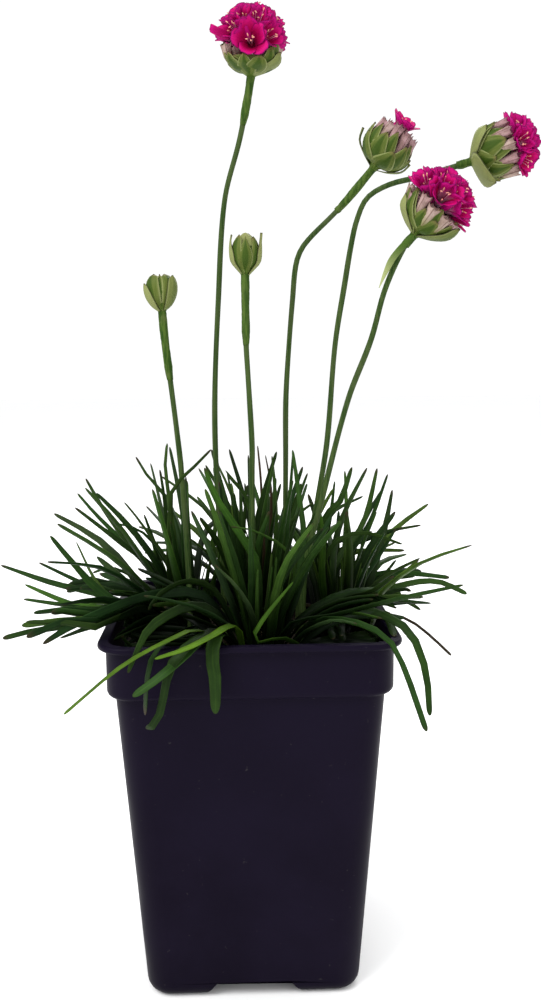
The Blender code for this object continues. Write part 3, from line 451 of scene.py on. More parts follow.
bmesh.ops.recalc_face_normals(bm, faces=bm.faces[:])
piece("soil_bed", bm, peat, "peat", "soil")

draw = random.Random("crumbs")
crumbs = bmesh.new()
grains = bmesh.new()
for index in range(crumb_count + perlite_count + fibre_count):
    x, y = soil_spot(draw.uniform(-1, 1), draw.uniform(-1, 1), loose_half, soil_corner)
    turned = Euler([draw.uniform(0, full_turn) for k in range(3)]).to_matrix().to_4x4()
    grain = index >= crumb_count + fibre_count
    if index < fibre_count:
        size = (fibre_radius, draw.uniform(*fibre_size) * mm, fibre_radius)
        spin = Matrix.Rotation(draw.uniform(0, full_turn), 4, "Z")
        turned = spin @ Matrix.Rotation(draw.uniform(-0.3, 0.3), 4, "X")
    else:
        size = [draw.uniform(*(perlite_size if grain else crumb_size)) * mm for k in range(3)]
    place = Matrix.Translation((x, y, soil_height(x, y) + 0.3 * size[2]))
    bmesh.ops.create_icosphere(
        grains if grain else crumbs, subdivisions=1, radius=1.0,
        matrix=place @ turned @ Matrix.Diagonal((*size, 1.0)),
    )
piece("soil_crumbs", crumbs, peat, "peat")

perlite, tree, shader, place = finish_of("perlite", 0.9, 0.1)
pores = speckle(tree, place, 1500.0, 3.0)
tone = painted(tree, (0.180, 0.165, 0.135), ((0.420, 0.400, 0.350), pores, 0.35, 0.65))
finished(tree, shader, tone, pores, 0.6, 0.0003)
piece("perlite_grains", grains, perlite, "peat")

# Lime leaves: three older, yellow-green leaves that lean over the front of the rim. Like all the
# leaves they are narrow and fleshy, channelled above, keeled below and blunt at the tip.
leaf_thickness = 0.9 * mm
leaf_tip_width = 0.6 * mm
leaf_shoulder = 0.9
leaf_clearance = 0.35 * mm
root_twist = 0.3
least_reach = 4 * mm
channel_lift = 0.08
edge_lift = 0.16
keel_depth = 0.56
blade_kinds = {"fine": (8, 15, 4), "plain": (6, 9, 3)}
tip_share = 0.16
tip_turn = 88
hanging_taper = 0.38
standing_taper = 0.64
lime_leaves = [
    ("lime_leaf_long", 2.8, 12, (0.048, 0.100, 0.008), [(-13, -40, 112), (-14, -42, 131),
        (-17, -46, 137.5), (-26, -54, 136.5), (-40, -63, 131), (-57, -72, 119)]),
    ("lime_leaf_blunt", 3.8, 8, (0.054, 0.116, 0.007), [(-3, -41, 112), (-3, -41, 129),
        (-5, -44, 138), (-13, -54, 137.2), (-21, -60, 135), (-30, -63, 133)]),
    ("lime_leaf_bent", 2.2, 50, (0.034, 0.084, 0.008), [(21, -38, 112), (17, -39, 128),
        (10, -43, 133.2), (4, -45.5, 132.4), (1, -46.5, 133.0), (1, -46.8, 135.6), (5, -47, 142),
        (14, -47, 153)]),
]


def along(points, shares=None):
    """Places and headings on a smooth line through the points, at shares of its length if given."""
    marks = [0.0]
    for a, b in zip(points, points[1:]):
        marks.append(marks[-1] + (b - a).length)
    last = len(points) - 1
    slopes = []
    for i in range(len(points)):
        before = max(i - 1, 0)
        after = min(i + 1, last)
        slopes.append((points[after] - points[before]) / (marks[after] - marks[before]))
    spots = []
    wanted = [marks[-1] * share for share in shares] if shares else marks
    for mark in wanted:
        i = 0
        while i < last - 1 and mark > marks[i + 1]:
            i += 1
        span = marks[i + 1] - marks[i]
        u = (mark - marks[i]) / span
        spot = (
            points[i] * (2 * u**3 - 3 * u**2 + 1)
            + slopes[i] * (span * (u**3 - 2 * u**2 + u))
            + points[i + 1] * (3 * u**2 - 2 * u**3)
            + slopes[i + 1] * (span * (u**3 - u**2))
        )
        heading = (
            (points[i + 1] - points[i]) * ((6 * u - 6 * u**2) / span)
            + slopes[i] * (3 * u**2 - 4 * u + 1)
            + slopes[i + 1] * (3 * u**2 - 2 * u)
        )
        spots.append((spot, heading.normalized()))
    return spots


def length_of(points):
    """Length of the straight ways from point to point."""
    return sum((b - a).length for a, b in zip(points, points[1:]))


def leaf_width(t):
    """Share of a leaf's full width at the share t of its length."""
    return min(1.0, 0.6 + 0.9 * t) * min(1.0, ((1.0 - t) / tip_share) ** 0.5)


def blade_shares(width, length, cuts, tip_rings):
    """Shares of a leaf's length for its rings: even along it, closer where the tip rounds off."""
    start = 1 - min(tip_share, 0.75 * width / length)
    count = cuts + 1 - tip_rings
    turns = [math.radians(tip_turn * (k + 1) / tip_rings) for k in range(tip_rings)]
    tip = [start + (1 - start) * math.sin(turn) for turn in turns]
    return [start * k / count for k in range(count + 1)] + tip


def blade_width(t, start, taper):
    """Share of the full width: narrow at the foot, tapering past the middle, round at the tip."""
    slim = 1 - taper * max(0.0, (t - 0.35) / 0.65) ** 1.5
    past = max(0.0, (t - start) / (1 - start))
    return min(1.0, 0.6 + 0.9 * t) * slim * math.sqrt(max(0.0, 1 - past * past))


def first_side(points):
    """Level direction across a leaf at its root."""
    reach = points[-1] - points[0]
    side = Vector((-reach.y, reach.x, 0.0))
    if side.length < least_reach:
        side = Vector((1.0, 0.0, 0.0))
    return side.normalized()


def across_at(side, heading, twist, t):
    """A leaf's direction across at a share of its length, without its twist and with it."""
    side = (side - heading * side.dot(heading)).normalized()
    turn = math.radians(twist * (root_twist + (1 - root_twist) * t))
    return side, Matrix.Rotation(turn, 3, heading) @ side


def gathered(bm, part):
    """Adds the part's mesh to the larger one."""
    mesh = bpy.data.meshes.new("part")
    part.to_mesh(mesh)
    part.free()
    bm.from_mesh(mesh)
    bpy.data.meshes.remove(mesh)


def with_values(bm, last):
    """Gives a mesh the values that its material reads, the last one of them named here."""
    for layer_name in ("along", "across", "own", last):
        bm.verts.layers.float.new(layer_name)
    if last == "dry":
        bm.verts.layers.float_color.new("tint")
    return bm


def mark(bm, vert, **values):
    """Writes values that the material reads onto one place of a mesh."""
    for name, value in values.items():
        vert[bm.verts.layers.float[name]] = value


templates = {}
for kind, (corners, cuts, tip_rings) in blade_kinds.items():
    template = bmesh.new()
    bmesh.ops.create_cone(
        template, cap_ends=True, segments=corners, radius1=1.0, radius2=1.0, depth=1.0
    )
    sides = [edge for edge in template.edges if abs(edge.verts[0].co.z - edge.verts[1].co.z) > 0.5]
    bmesh.ops.subdivide_edges(template, edges=sides, cuts=cuts)
    templates[kind] = with_values(template, "dry")


def blade(bm, points, width, twist, tint, dry, draw, kind="plain"):
    """Adds one finished leaf: its own colour, how dry its tip is, and small bends of its own."""
    made = templates[kind].copy()
    cuts, tip_rings = blade_kinds[kind][1:]
    widest = max(vert.co.x for vert in made.verts)
    own = draw.random()
    wave = draw.uniform(1.5, 4.0)
    shift = draw.uniform(0, full_turn)
    side = first_side(points)
    rings = {}
    for vert in made.verts:
        rings.setdefault(round((vert.co.z + 0.5) * (cuts + 1)), []).append(vert)
    shares = blade_shares(width, length_of(points), cuts, tip_rings)
    start = shares[-1 - tip_rings]
    taper = hanging_taper if points[-1].z < points[-2].z else standing_taper
    for k, (t, (spot, heading)) in enumerate(zip(shares, along(points, shares))):
        side, turned = across_at(side, heading, twist, t)
        top = heading.cross(turned)
        ripple = math.sin(full_turn * wave * t + shift)
        half = 0.5 * width * blade_width(t, start, taper) * (1 + 0.05 * ripple)
        past = max(0.0, (t - start) / (1 - start))
        thick = leaf_thickness * (0.92 - 0.45 * t) * (1 - 0.85 * past * past)
        bend = 0.16 * width * math.sin(3.14 * t) * math.sin(3.1 * wave * t + shift)
        for vert in rings[k]:
            u, s = vert.co.x / widest, vert.co.y
            if s > 0.1:
                level = channel_lift + edge_lift * u * u
            elif s < -0.1:
                level = -keel_depth + keel_depth * abs(u)
            else:
                level = 0.10
            lean = 0.10 * ripple * u * abs(u) * t
            vert.co = spot + turned * (half * u + bend * 0.3) + top * (thick * level + lean * half)
            mark(made, vert, along=t, across=u, own=own, dry=dry)
            vert[made.verts.layers.float_color["tint"]] = (*tint, 1.0)
    bmesh.ops.recalc_face_normals(made, faces=made.faces[:])
    gathered(bm, made)


def marked(tree, name, output="Fac"):
    """Value that the mesh carries under that name."""
    return add(tree, "Attribute", attribute_name=name).outputs[output]


def veined(tree, factors, scale):
    """Share along a leaf or petal, its own number, the way from its rib, and lines along it."""
    length_share, sideways, own = [marked(tree, name) for name in ("along", "across", "own")]
    values = zip((sideways, length_share, own), factors)
    parts = {k: calc(tree, "MULTIPLY", value, factor) for k, (value, factor) in enumerate(values)}
    lines = speckle(tree, add(tree, "CombineXYZ", parts).outputs[0], scale, 4.0, 0.6)
    return length_share, own, calc(tree, "ABSOLUTE", sideways), lines


leaf_flesh, tree, shader, place = finish_of("leaf_flesh", 0.5, 0.05)
length_share, own, from_rib, streak = veined(tree, (7.0, 5.0, 90.0), 1.6)
dryness = marked(tree, "dry")
tint = marked(tree, "tint", "Color")
cloud = speckle(tree, place, 140.0, 3.0)
tone = painted(
    tree, tint,
    # Paler streaks along the leaf: partly lines in the leaf itself, partly a painted highlight of
    # its gloss.
    ((1.75, 1.60, 1.40), streak, 0.35, 0.68, 0.0, 0.55, "MULTIPLY"),
    ((0.50, 0.55, 0.55), cloud, 0.35, 0.60, 0.55, 0.0, "MULTIPLY"),
    # Lighter along the midrib: a painted highlight standing in for the light in the leaf's channel.
    ((1.9, 1.8, 1.6), from_rib, 0.03, 0.20, 0.35, 0.0, "MULTIPLY"),
    # Lighter towards the edges: a painted highlight along the leaf edges.
    ((2.0, 1.7, 1.6), from_rib, 0.72, 1.0, 0.0, 0.6, "MULTIPLY"),
    # Darker towards the foot of each leaf: painted shade deep in the clump.
    ((0.30, 0.34, 0.28), length_share, 0.05, 0.50, 1.0, 0.0, "MULTIPLY"),
)
# Leaves low down inside the pot's mouth are multiplied darker: painted shade inside the clump and
# under the rim.
spot = add(tree, "SeparateXYZ", {0: place}).outputs
middle = calc(tree, "MAXIMUM", calc(tree, "ABSOLUTE", spot[0]), calc(tree, "ABSOLUTE", spot[1]))
inward = rising(tree, middle, 0.036, 0.058, 1.0, 0.0)
depth = calc(tree, "MULTIPLY", inward, rising(tree, spot[2], 0.128, 0.176, 1.0, 0.0))
tone = blended(tree, depth, tone, (0.09, 0.12, 0.08), "MULTIPLY")
ragged = calc(tree, "ADD", length_share, calc(tree, "MULTIPLY", streak, 0.08))
dried = rising(tree, calc(tree, "ADD", ragged, dryness), 1.03, 1.08)
brown = blended(tree, streak, (0.012, 0.010, 0.006), (0.050, 0.038, 0.018))
tone = blended(tree, dried, tone, brown)
tree.links.new(rising(tree, streak, 0.3, 0.7, 0.38, 0.52), shader.inputs["Roughness"])
finished(tree, shader, tone, streak, 0.25, 0.0002)

for name, width, twist, tint, points in lime_leaves:
    bm = with_values(bmesh.new(), "dry")
    draw = random.Random(name)
    blade(bm, [Vector(p) * mm for p in points], width * mm, twist, tint, 0.0, draw, "fine")
    piece(name.replace("lime_leaf", "older_leaf"), bm, leaf_flesh, "leaf_lime", name)

# Tufts: five crowns at the soil, each a low green-brown dome that bears a rosette of leaves. The
# leaves that the front shows one by one have ways of their own, the others grow by rule, and each
# takes the freest of several draws.
leaf_root_height = 120.0 * mm
crown_foot = 108.0
crown_rim = 119.5
crown_top = 122.6
reach_x = 92 * mm
reach_y = 71 * mm
reach_z = 197 * mm
golden_turn = math.radians(137.5)
grown_rings = 4
placed_tries = 60
placed_choices = 10
grown_choices = 30
try_push = 0.12 * mm
leaf_sway = 55
spare_spots = 3
root_inset = 1.3
steepest_leaf = 88.0
crowns = {
    "front": (4, -25, 11.0, 1), "left": (-23, 3, 11.0, 2), "right": (34, 4, 10.0, 4),
    "centre": (4, 9, 8.5, 1), "back": (6, 33, 9.0, 1),
}
tints = {
    "middle": (0.0150, 0.0390, 0.0070),
    "dark": (0.0080, 0.0230, 0.0050),
    "bright": (0.0270, 0.0700, 0.0080),
    "fresh": (0.0280, 0.0640, 0.0095),
    "grey": (0.0210, 0.0440, 0.0145),
    "dry": (0.0300, 0.0210, 0.0120),
}
placed_leaves = {
    "left": [
        ("middle", 2.6, 30, [(-32, 4, 143), (-43, 6, 154), (-53, 8, 167), (-61, 10, 181)]),
        ("middle", 2.6, 35, [(-38, 12, 145), (-49, 16, 156), (-59, 18, 166), (-66, 20, 174)]),
        ("middle", 2.6, 25, [(-36, 2, 147), (-46, 0, 157), (-55, -2, 165), (-63, -4, 172)]),
        ("middle", 2.4, 40, [(-28, 12, 149), (-31, 16, 172), (-38, 18, 180), (-43, 20, 188)]),
        ("middle", 2.4, 20, [(-27, 0, 151), (-29, -2, 175), (-30, -3, 188), (-29, -3, 195)]),
        ("middle", 2.4, 50, [(-29, 8, 149), (-32, 10, 177), (-33, 10, 184)]),
        ("middle", 2.5, 10, [(-29, -8, 149), (-28, -10, 169), (-27, -10, 179), (-20, -9, 186),
            (-13, -8, 193)]),
        ("middle", 2.4, 30, [(-24, 4, 150), (-24, 4, 188)]),
        ("middle", 2.2, 45, [(-29, -8, 151), (-34, -10, 160), (-41, -12, 171), (-44, -13, 175)]),
        ("middle", 2.4, 30, [(-34, 14, 148), (-40, 16, 166)]),
        ("middle", 2.0, 45, [(-27, -6, 143), (-35, -8, 160), (-41, -9, 165), (-48, -10, 167)]),
        ("middle", 3.4, 40, [(-40, -6, 130), (-56, -8, 143), (-61, -9, 149), (-71, -11, 163)]),
        ("fresh", 3.4, 45, [(-45, 0, 130), (-57, 0, 142), (-64, 0, 158)]),
        ("middle", 3.0, 45, [(-41, 5, 130), (-57, 6, 135), (-73, 8, 141), (-94.5, 10, 147)]),
        ("dark", 2.6, 40, [(-46, 14, 132), (-60, 15, 136), (-82, 17, 146)]),
        ("fresh", 2.8, 40, [(-44, -9, 134), (-54, -10, 135.5), (-63, -10, 137), (-81, -10, 145)]),
        ("middle", 2.8, 40, [(-48, -3, 134), (-66, -3, 135), (-83, -3, 136.5)]),
        ("middle", 3.0, 40, [(-40, -24, 137), (-52, -34, 138), (-62, -38, 137), (-73, -40, 136),
            (-82, -41, 134)]),
        ("dark", 3.0, 35, [(-36, -22, 138), (-46, -34, 138), (-54, -40, 137), (-63, -42, 134)]),
        ("grey", 4.4, 40, [(-39, 18, 129), (-45, 20, 135), (-60, 24, 148)]),
        ("grey", 6.0, 35, [(-39, 20, 132), (-50, 26, 137.5), (-60, 29, 140)]),
        ("middle", 1.8, 40, [(-39, 22, 135), (-50, 24, 142), (-56, 25, 143), (-62, 26, 141)]),
    ],
    "centre": [
        ("fresh", 2.4, 30, [(-13, 8, 149), (-11, 10, 170), (-11, 10, 187)]),
        ("middle", 2.4, 40, [(2, 0, 151), (0, -2, 173), (-8, -4, 185)]),
        ("middle", 2.4, 20, [(14, 2, 146), (15, 1, 165), (17, 0, 191)]),
        ("middle", 2.4, 40, [(11, 8, 145), (16, 9, 163), (23, 10, 182)]),
        ("dry", 1.6, 20, [(6, 6, 149), (5, 6, 181), (4, 6, 193)]),
        ("dry", 1.6, 30, [(8, 10, 148), (9, 10, 176), (7, 10, 189)]),
        ("middle", 3.4, 25, [(2, 4, 146), (4, 4, 167), (11, 3, 191)]),
        ("middle", 2.4, 40, [(10, -1, 151), (10, -3, 178), (9, -3, 190)]),
        ("middle", 2.4, 20, [(-2, 7, 149), (0, 8, 178)]),
        ("middle", 2.4, 40, [(2, 11, 148), (1, 12, 170), (-7, 12, 181)]),
        ("middle", 2.4, 30, [(13, 7, 149), (17, 8, 164), (25, 8, 171)]),
    ],
    "right": [
        ("middle", 3.8, 30, [(27, 4, 149), (29, 4, 166), (34, 3, 171), (39, 2, 185)]),
        ("middle", 3.8, 35, [(31, -6, 151), (35, -8, 169), (43, -10, 186)]),
        ("middle", 3.0, 30, [(32, 2, 146), (38, 3, 155), (44, 4, 164), (49, 6, 184)]),
        ("middle", 2.4, 40, [(34, 8, 144), (41, 9, 153), (47, 10, 163), (54, 12, 181)]),
        ("middle", 2.6, 30, [(27, 12, 148), (32, 14, 165), (45, 16, 172)]),
        ("middle", 2.0, 50, [(26, -6, 143), (31, -12, 159), (41, -14, 163), (55, -16, 159)]),
        ("dark", 2.4, 30, [(45, 8, 141), (50, 9, 149), (57, 10, 160)]),
        ("middle", 2.4, 40, [(49, 12, 136), (54, 13, 142), (58, 14, 147)]),
        ("middle", 2.4, 45, [(46, 4, 137), (54, 3, 144), (65, 2, 150)]),
        ("fresh", 2.8, 40, [(45, -4, 137), (54, -5, 143), (63, -6, 151)]),
        ("middle", 2.6, 45, [(52, 16, 137), (61, 18, 140), (79, 20, 138)]),
        ("middle", 2.8, 45, [(47, 7, 134), (63, 8, 139), (74, 9, 139), (85, 9, 134)]),
        ("middle", 2.4, 40, [(47, -3, 136), (54, -4, 138), (59, -5, 135), (64, -6, 132)]),
        ("middle", 2.0, 30, [(44, -13, 136), (49, -16, 137), (53, -18, 136)]),
        ("middle", 3.4, 40, [(36, -14, 138), (44, -20, 143), (51, -23, 149)]),
        ("fresh", 2.8, 35, [(36, -24, 135), (44, -31, 136), (51, -35, 137)]),
        ("dry", 1.6, 30, [(41, -22, 135), (53, -31, 136), (60, -35, 132), (68, -40, 125)]),
        ("middle", 3.2, 35, [(37, -26, 137), (45, -42, 139), (51, -54, 137), (55, -58, 126),
            (57, -59, 111)]),
        ("middle", 2.4, 20, [(29, 14, 147), (32, 15, 163), (34, 16, 178)]),
        ("bright", 3.2, 30, [(27, -8, 144), (27, -10, 161), (25, -11, 175)]),
        ("grey", 3.2, 50, [(40, 12, 134), (41, 13, 144), (41, 14, 154)]),
        ("grey", 2.8, 30, [(44, 16, 137), (45, 18, 154)]),
    ],
    "front": [
        ("bright", 3.6, 25, [(3, -16, 152), (-3, -18, 164), (-11, -20, 177), (-15, -22, 188)]),
        ("dark", 3.8, 40, [(-15, -26, 143), (-34, -34, 146), (-50, -40, 142), (-62, -44, 137),
            (-68, -45, 133)]),
        ("middle", 2.8, 25, [(-12, -22, 144), (-21, -26, 149), (-30, -35, 147), (-34, -38, 142)]),
        ("middle", 3.6, 20, [(-11, -32, 139), (-20, -38, 143), (-32, -50, 140), (-36, -56, 134),
            (-39, -58, 127)]),
        ("middle", 3.8, 20, [(-8, -38, 132), (-16, -49, 134.4), (-21, -56, 131.5), (-28, -61, 127),
            (-37, -63, 121)]),
        ("dark", 3.4, 15, [(-14, -36, 132), (-26, -49, 134.8), (-31, -55, 132), (-33, -58, 125),
            (-34, -58, 113)]),
        ("dark", 3.8, 10, [(-10, -37, 132), (-20, -49.8, 135.2), (-25, -56, 130.5), (-28, -58, 118),
            (-29, -58, 109), (-34, -58, 107)]),
        ("middle", 5.0, 5, [(-7, -37, 132), (-11, -49.8, 135.2), (-12, -55.5, 132.2),
            (-12, -57.5, 124), (-12, -57, 111)]),
        ("middle", 2.8, 30, [(13, -37, 136), (29, -40, 140), (54, -37, 145), (73, -34, 148)]),
        ("middle", 3.2, 25, [(22, -38, 137), (34, -50, 140), (43, -59, 137), (48, -62, 128),
            (55, -64, 108)]),
        ("fresh", 1.8, 30, [(16, -22, 150), (12, -24, 160), (0, -26, 167), (-6, -27, 168)]),
        ("middle", 2.8, 30, [(17, -17, 146), (20, -15, 161), (19, -14, 171), (16, -13, 193)]),
    ],
    "back": [
        ("middle", 3.2, 20, [(2, 48, 139), (-4, 60, 138), (-9, 69, 128), (-12, 72, 114)]),
        ("middle", 3.0, 20, [(16, 46, 140), (24, 58, 142), (31, 66, 135), (35, 70, 122)]),
    ],
}
grown_leaves = [
    ("left", 11, (110, 250), (48, 74), (76, 88), (35, 78)),
    ("left", 10, (95, 265), (52, 78), (55, 72), (-10, 30)),
    ("left", 9, (140, 320), (40, 62), (44, 60), (-30, 5)),
    ("centre", 12, (0, 360), (56, 74), (82, 90), (52, 84)),
    ("centre", 10, (0, 360), (50, 70), (76, 88), (25, 65)),
    ("right", 9, (-70, 90), (48, 70), (74, 88), (35, 76)),
    ("right", 9, (-70, 100), (50, 72), (55, 70), (-10, 30)),
    ("right", 8, (-110, 60), (36, 54), (48, 60), (-30, 0)),
    ("front", 12, (180, 360), (48, 68), (72, 88), (30, 72)),
    ("front", 12, (170, 370), (36, 56), (56, 70), (-20, 20)),
    ("back", 12, (20, 160), (50, 76), (74, 88), (25, 72)),
    ("back", 10, (10, 170), (52, 76), (55, 72), (-35, 15)),
]


def plain_leaf(points, width, twist, grow, rings):
    """The leaf as a few plain faces, grown a little all round, to find what it would touch."""
    side = first_side(points)
    rings = rings or max(4, len(points))
    shares = [leaf_shoulder * k / (rings - 2) for k in range(rings - 1)] + [1.0]
    sections = []
    for t, (spot, heading) in zip(shares, along(points, shares)):
        side, turned = across_at(side, heading, twist, t)
        top = heading.cross(turned)
        half = 0.5 * max(width * leaf_width(t), leaf_tip_width) + grow
        lift = 0.35 * leaf_thickness * (1.0 - 0.35 * t) + grow
        drop = 0.65 * leaf_thickness * (1.0 - 0.35 * t) + grow
        across = turned * half
        sections.append([spot + across + top * lift, spot - across + top * lift, spot - top * drop])
    if grow:
        foot_heading = along(points)[0][1]
        sections[0] = [place - foot_heading * grow for place in sections[0]]
    return loft(sections, pointed=True)


def bristle(root, azimuth, length, start, end, sway):
    """Points of a leaf that starts at one slope and ends at another, in degrees above level."""
    steps = 3
    spot = Vector(root)
    points = [spot.copy()]
    for k in range(steps):
        slope = math.radians(start + (end - start) * (k + 0.5) / steps)
        turn = math.radians(azimuth + sway * (k + 0.5) / steps)
        spot += Vector(
            (math.cos(turn) * math.cos(slope), math.sin(turn) * math.cos(slope), math.sin(slope))
        ) * (length / steps)
        points.append(spot.copy())
    return points


def root_place(crown, stand, turn):
    """Place of a leaf's root at that distance and direction from the crown's middle."""
    x, y = crowns[crown][:2]
    spot = ((x + stand * math.cos(turn)) * mm, (y + stand * math.sin(turn)) * mm)
    return Vector((*spot, leaf_root_height))


def crown_spots(crown, count):
    """Root places on the crown, evenly spread as in a spiral rosette."""
    reach = crowns[crown][2] - root_inset
    stands = [reach * math.sqrt((k + 0.5) / count) for k in range(count)]
    return [root_place(crown, stand, k * golden_turn) for k, stand in enumerate(stands)]


def free_spot(crown, spots, azimuth, slope):
    """The free root place that suits a leaf: low ones at the crown's edge, steep ones inside."""
    reach = crowns[crown][2] - root_inset
    wish = root_place(crown, reach * max(0.0, 1.0 - slope / steepest_leaf) ** 0.6, azimuth)
    return min(spots, key=lambda spot: (spot - wish).length)


def leaf_tree(points, width, twist, grow, rings):
    """Search tree over the plain faces of a leaf."""
    solid = plain_leaf(points, width, twist, grow, rings)
    made = BVHTree.FromBMesh(solid)
    solid.free()
    return made


def crossings(points, width, twist, rings, neighbours):
    """How many leaves of its tuft a leaf meets, or nothing where it is too near another node."""
    test = leaf_tree(points, width, twist, leaf_clearance, rings)
    if any(test.overlap(other) for other in others):
        return None
    return sum(1 for neighbour in neighbours if test.overlap(neighbour))


def placed_ways(entry, spots, draw):
    """Ways near a leaf's own, pushed a little further from it at each try."""
    crown, tint, width, twist, way = entry
    x, y = crowns[crown][:2]
    for attempt in range(placed_tries):
        push = attempt * try_push
        shifted = []
        for k, place in enumerate(way):
            loose = push * (0.5 if k == len(way) - 1 else 1.0)
            shift = Vector((draw.uniform(-0.4, 0.4), draw.uniform(-1, 1), draw.uniform(-0.3, 0.8)))
            shifted.append(Vector(place) * mm + shift * loose)
        out = shifted[0] - Vector((x * mm, y * mm, leaf_root_height))
        slope = math.degrees(math.atan2(out.z, math.hypot(out.x, out.y)))
        root = free_spot(crown, spots, math.atan2(out.y, out.x), slope)
        turned = twist * (1 if draw.random() < 0.5 else -1)
        yield root, [root] + shifted, width * mm, turned, 0


def grown_ways(rule, spots, draw):
    """Ways drawn by one rule, without those that reach too far out or up."""
    crown, count, azimuths, lengths, starts, ends = rule
    for attempt in range(grown_choices):
        azimuth = draw.uniform(*azimuths)
        slope = draw.uniform(*starts)
        end = draw.uniform(*ends)
        root = free_spot(crown, spots, math.radians(azimuth), 0.5 * (slope + end))
        sway = draw.uniform(-leaf_sway, leaf_sway)
        points = bristle(root, azimuth, draw.uniform(*lengths) * mm, slope, end, sway)
        width = draw.uniform(2.5, 3.9) * mm
        twist = draw.uniform(-70, 70)
        tip, top = points[-1], max(place.z for place in points)
        if abs(tip.x) <= reach_x and abs(tip.y) <= reach_y and top <= reach_z:
            yield root, points, width, twist, grown_rings


def freest(ways, neighbours, enough):
    """Of the first ways that are clear of the other nodes, the one that meets the fewest leaves."""
    best = None
    found = 0
    for root, points, width, twist, rings in ways:
        met = crossings(points, width, twist, rings, neighbours)
        if met is None:
            continue
        if best is None or met < best[0]:
            best = (met, root, points, width, twist, rings)
        found += 1
        if found == enough:
            break
    return best


def solid_tree(name):
    """Search tree over the faces of a CAD node."""
    mesh = nodes[name].data
    faces = [tuple(polygon.vertices) for polygon in mesh.polygons]
    return BVHTree.FromPolygons([vert.co for vert in mesh.vertices], faces)


def shown_twist(points, twist, least):
    """The twist nearest to a leaf's own that turns enough of its broad side to the front."""
    side = first_side(points)
    shares = (0.2, 0.4, 0.6, 0.8, 0.95)
    ways = along(points, shares)
    best = None
    for change in range(0, 90, 10):
        for turned in (twist + change, twist - change):
            parts = []
            now = side.copy()
            for t, (spot, heading) in zip(shares, ways):
                now, across = across_at(now, heading, turned, t)
                shown = abs(heading.cross(across).dot(front_view))
                parts.append(shown / max(0.3, heading.cross(front_view).length))
            seen = 0.12 * sum(parts) + 0.4 * min(parts)
            if seen >= least:
                return turned
            if best is None or seen > best[0]:
                best = (seen, turned)
    return best[1]


def shade_of(tint, draw):
    """The tint, a little lighter or darker, and a little more or less yellow."""
    light = draw.uniform(0.75, 1.3)
    yellow = draw.uniform(0.85, 1.20)
    red, green, blue = tints[tint]
    return (red * light * yellow, green * light, blue * light)


def around(count):
    """Directions evenly round a circle."""
    return [2 * math.pi * k / count for k in range(count)]


def heart(bm, crown):
    """Adds the crown itself: a low lumpy dome of leaf bases."""
    x, y, r = crowns[crown][:3]
    rings = []
    profile = ((1.0, crown_foot), (1.0, crown_rim), (0.93, crown_rim + 1.6), (0.78, crown_top),
               (0.5, crown_top + 0.8), (0.2, crown_top + 1.0))
    for share, height in profile:
        ring = []
        for turn in around(36):
            lump = 1 - 0.05 * abs(math.sin(7 * turn + height))
            reach = r * share * lump
            spot = Vector((x + reach * math.cos(turn), y + reach * math.sin(turn), height))
            ring.append(spot * mm)
        rings.append(ring)
    made = with_values(loft(rings), "dry")
    for vert in made.verts:
        vert[made.verts.layers.float_color["tint"]] = (0.020, 0.024, 0.008, 1.0)
        mark(made, vert, across=0.5, own=0.3)
    gathered(bm, made)


small_leaves = [
    ("fresh", 20, (18, 38), (74, 88), (60, 88), 30, (1.4, 2.2), 60, 0.0),
    ("dry", 9, (12, 24), (35, 60), (-40, -5), 70, (1.2, 2.4), 90, 0.9),
]
dead_reach = 44 * mm
grown_tints = ("middle", "dark", "fresh", "grey")
grown_weights = (45, 27, 18, 10)
low_weights = (40, 45, 15)
placed_shown = 0.76
grown_shown = 0.62
low_shown = 0.70
front_view = Vector((0.0, 0.99, -0.14))
mouth_reach = (43 * mm, 41 * mm)
inner_edge = 48
low_leaves = [
    ("left", 15, -51.5, (-42, 22), 1.5, 138), ("right", 7, 51.5, (-34, 24), 1.35, 138),
    ("front", 12, -42, (-44, -10), 1.06, 129), ("front", 6, 44, (-44, -18), 1.02, 128),
    ("left", 8, -43, (-38, 0), 1.04, 131),
]
growing = ("scape", "cup", "florets", "calyces", "bud")
standing = [name for name in nodes if name.startswith(growing)]
others = [solid_tree(name) for name in ["pot", "soil"] + standing]
others += [solid_tree(entry[0]) for entry in lime_leaves]
firm = list(others)
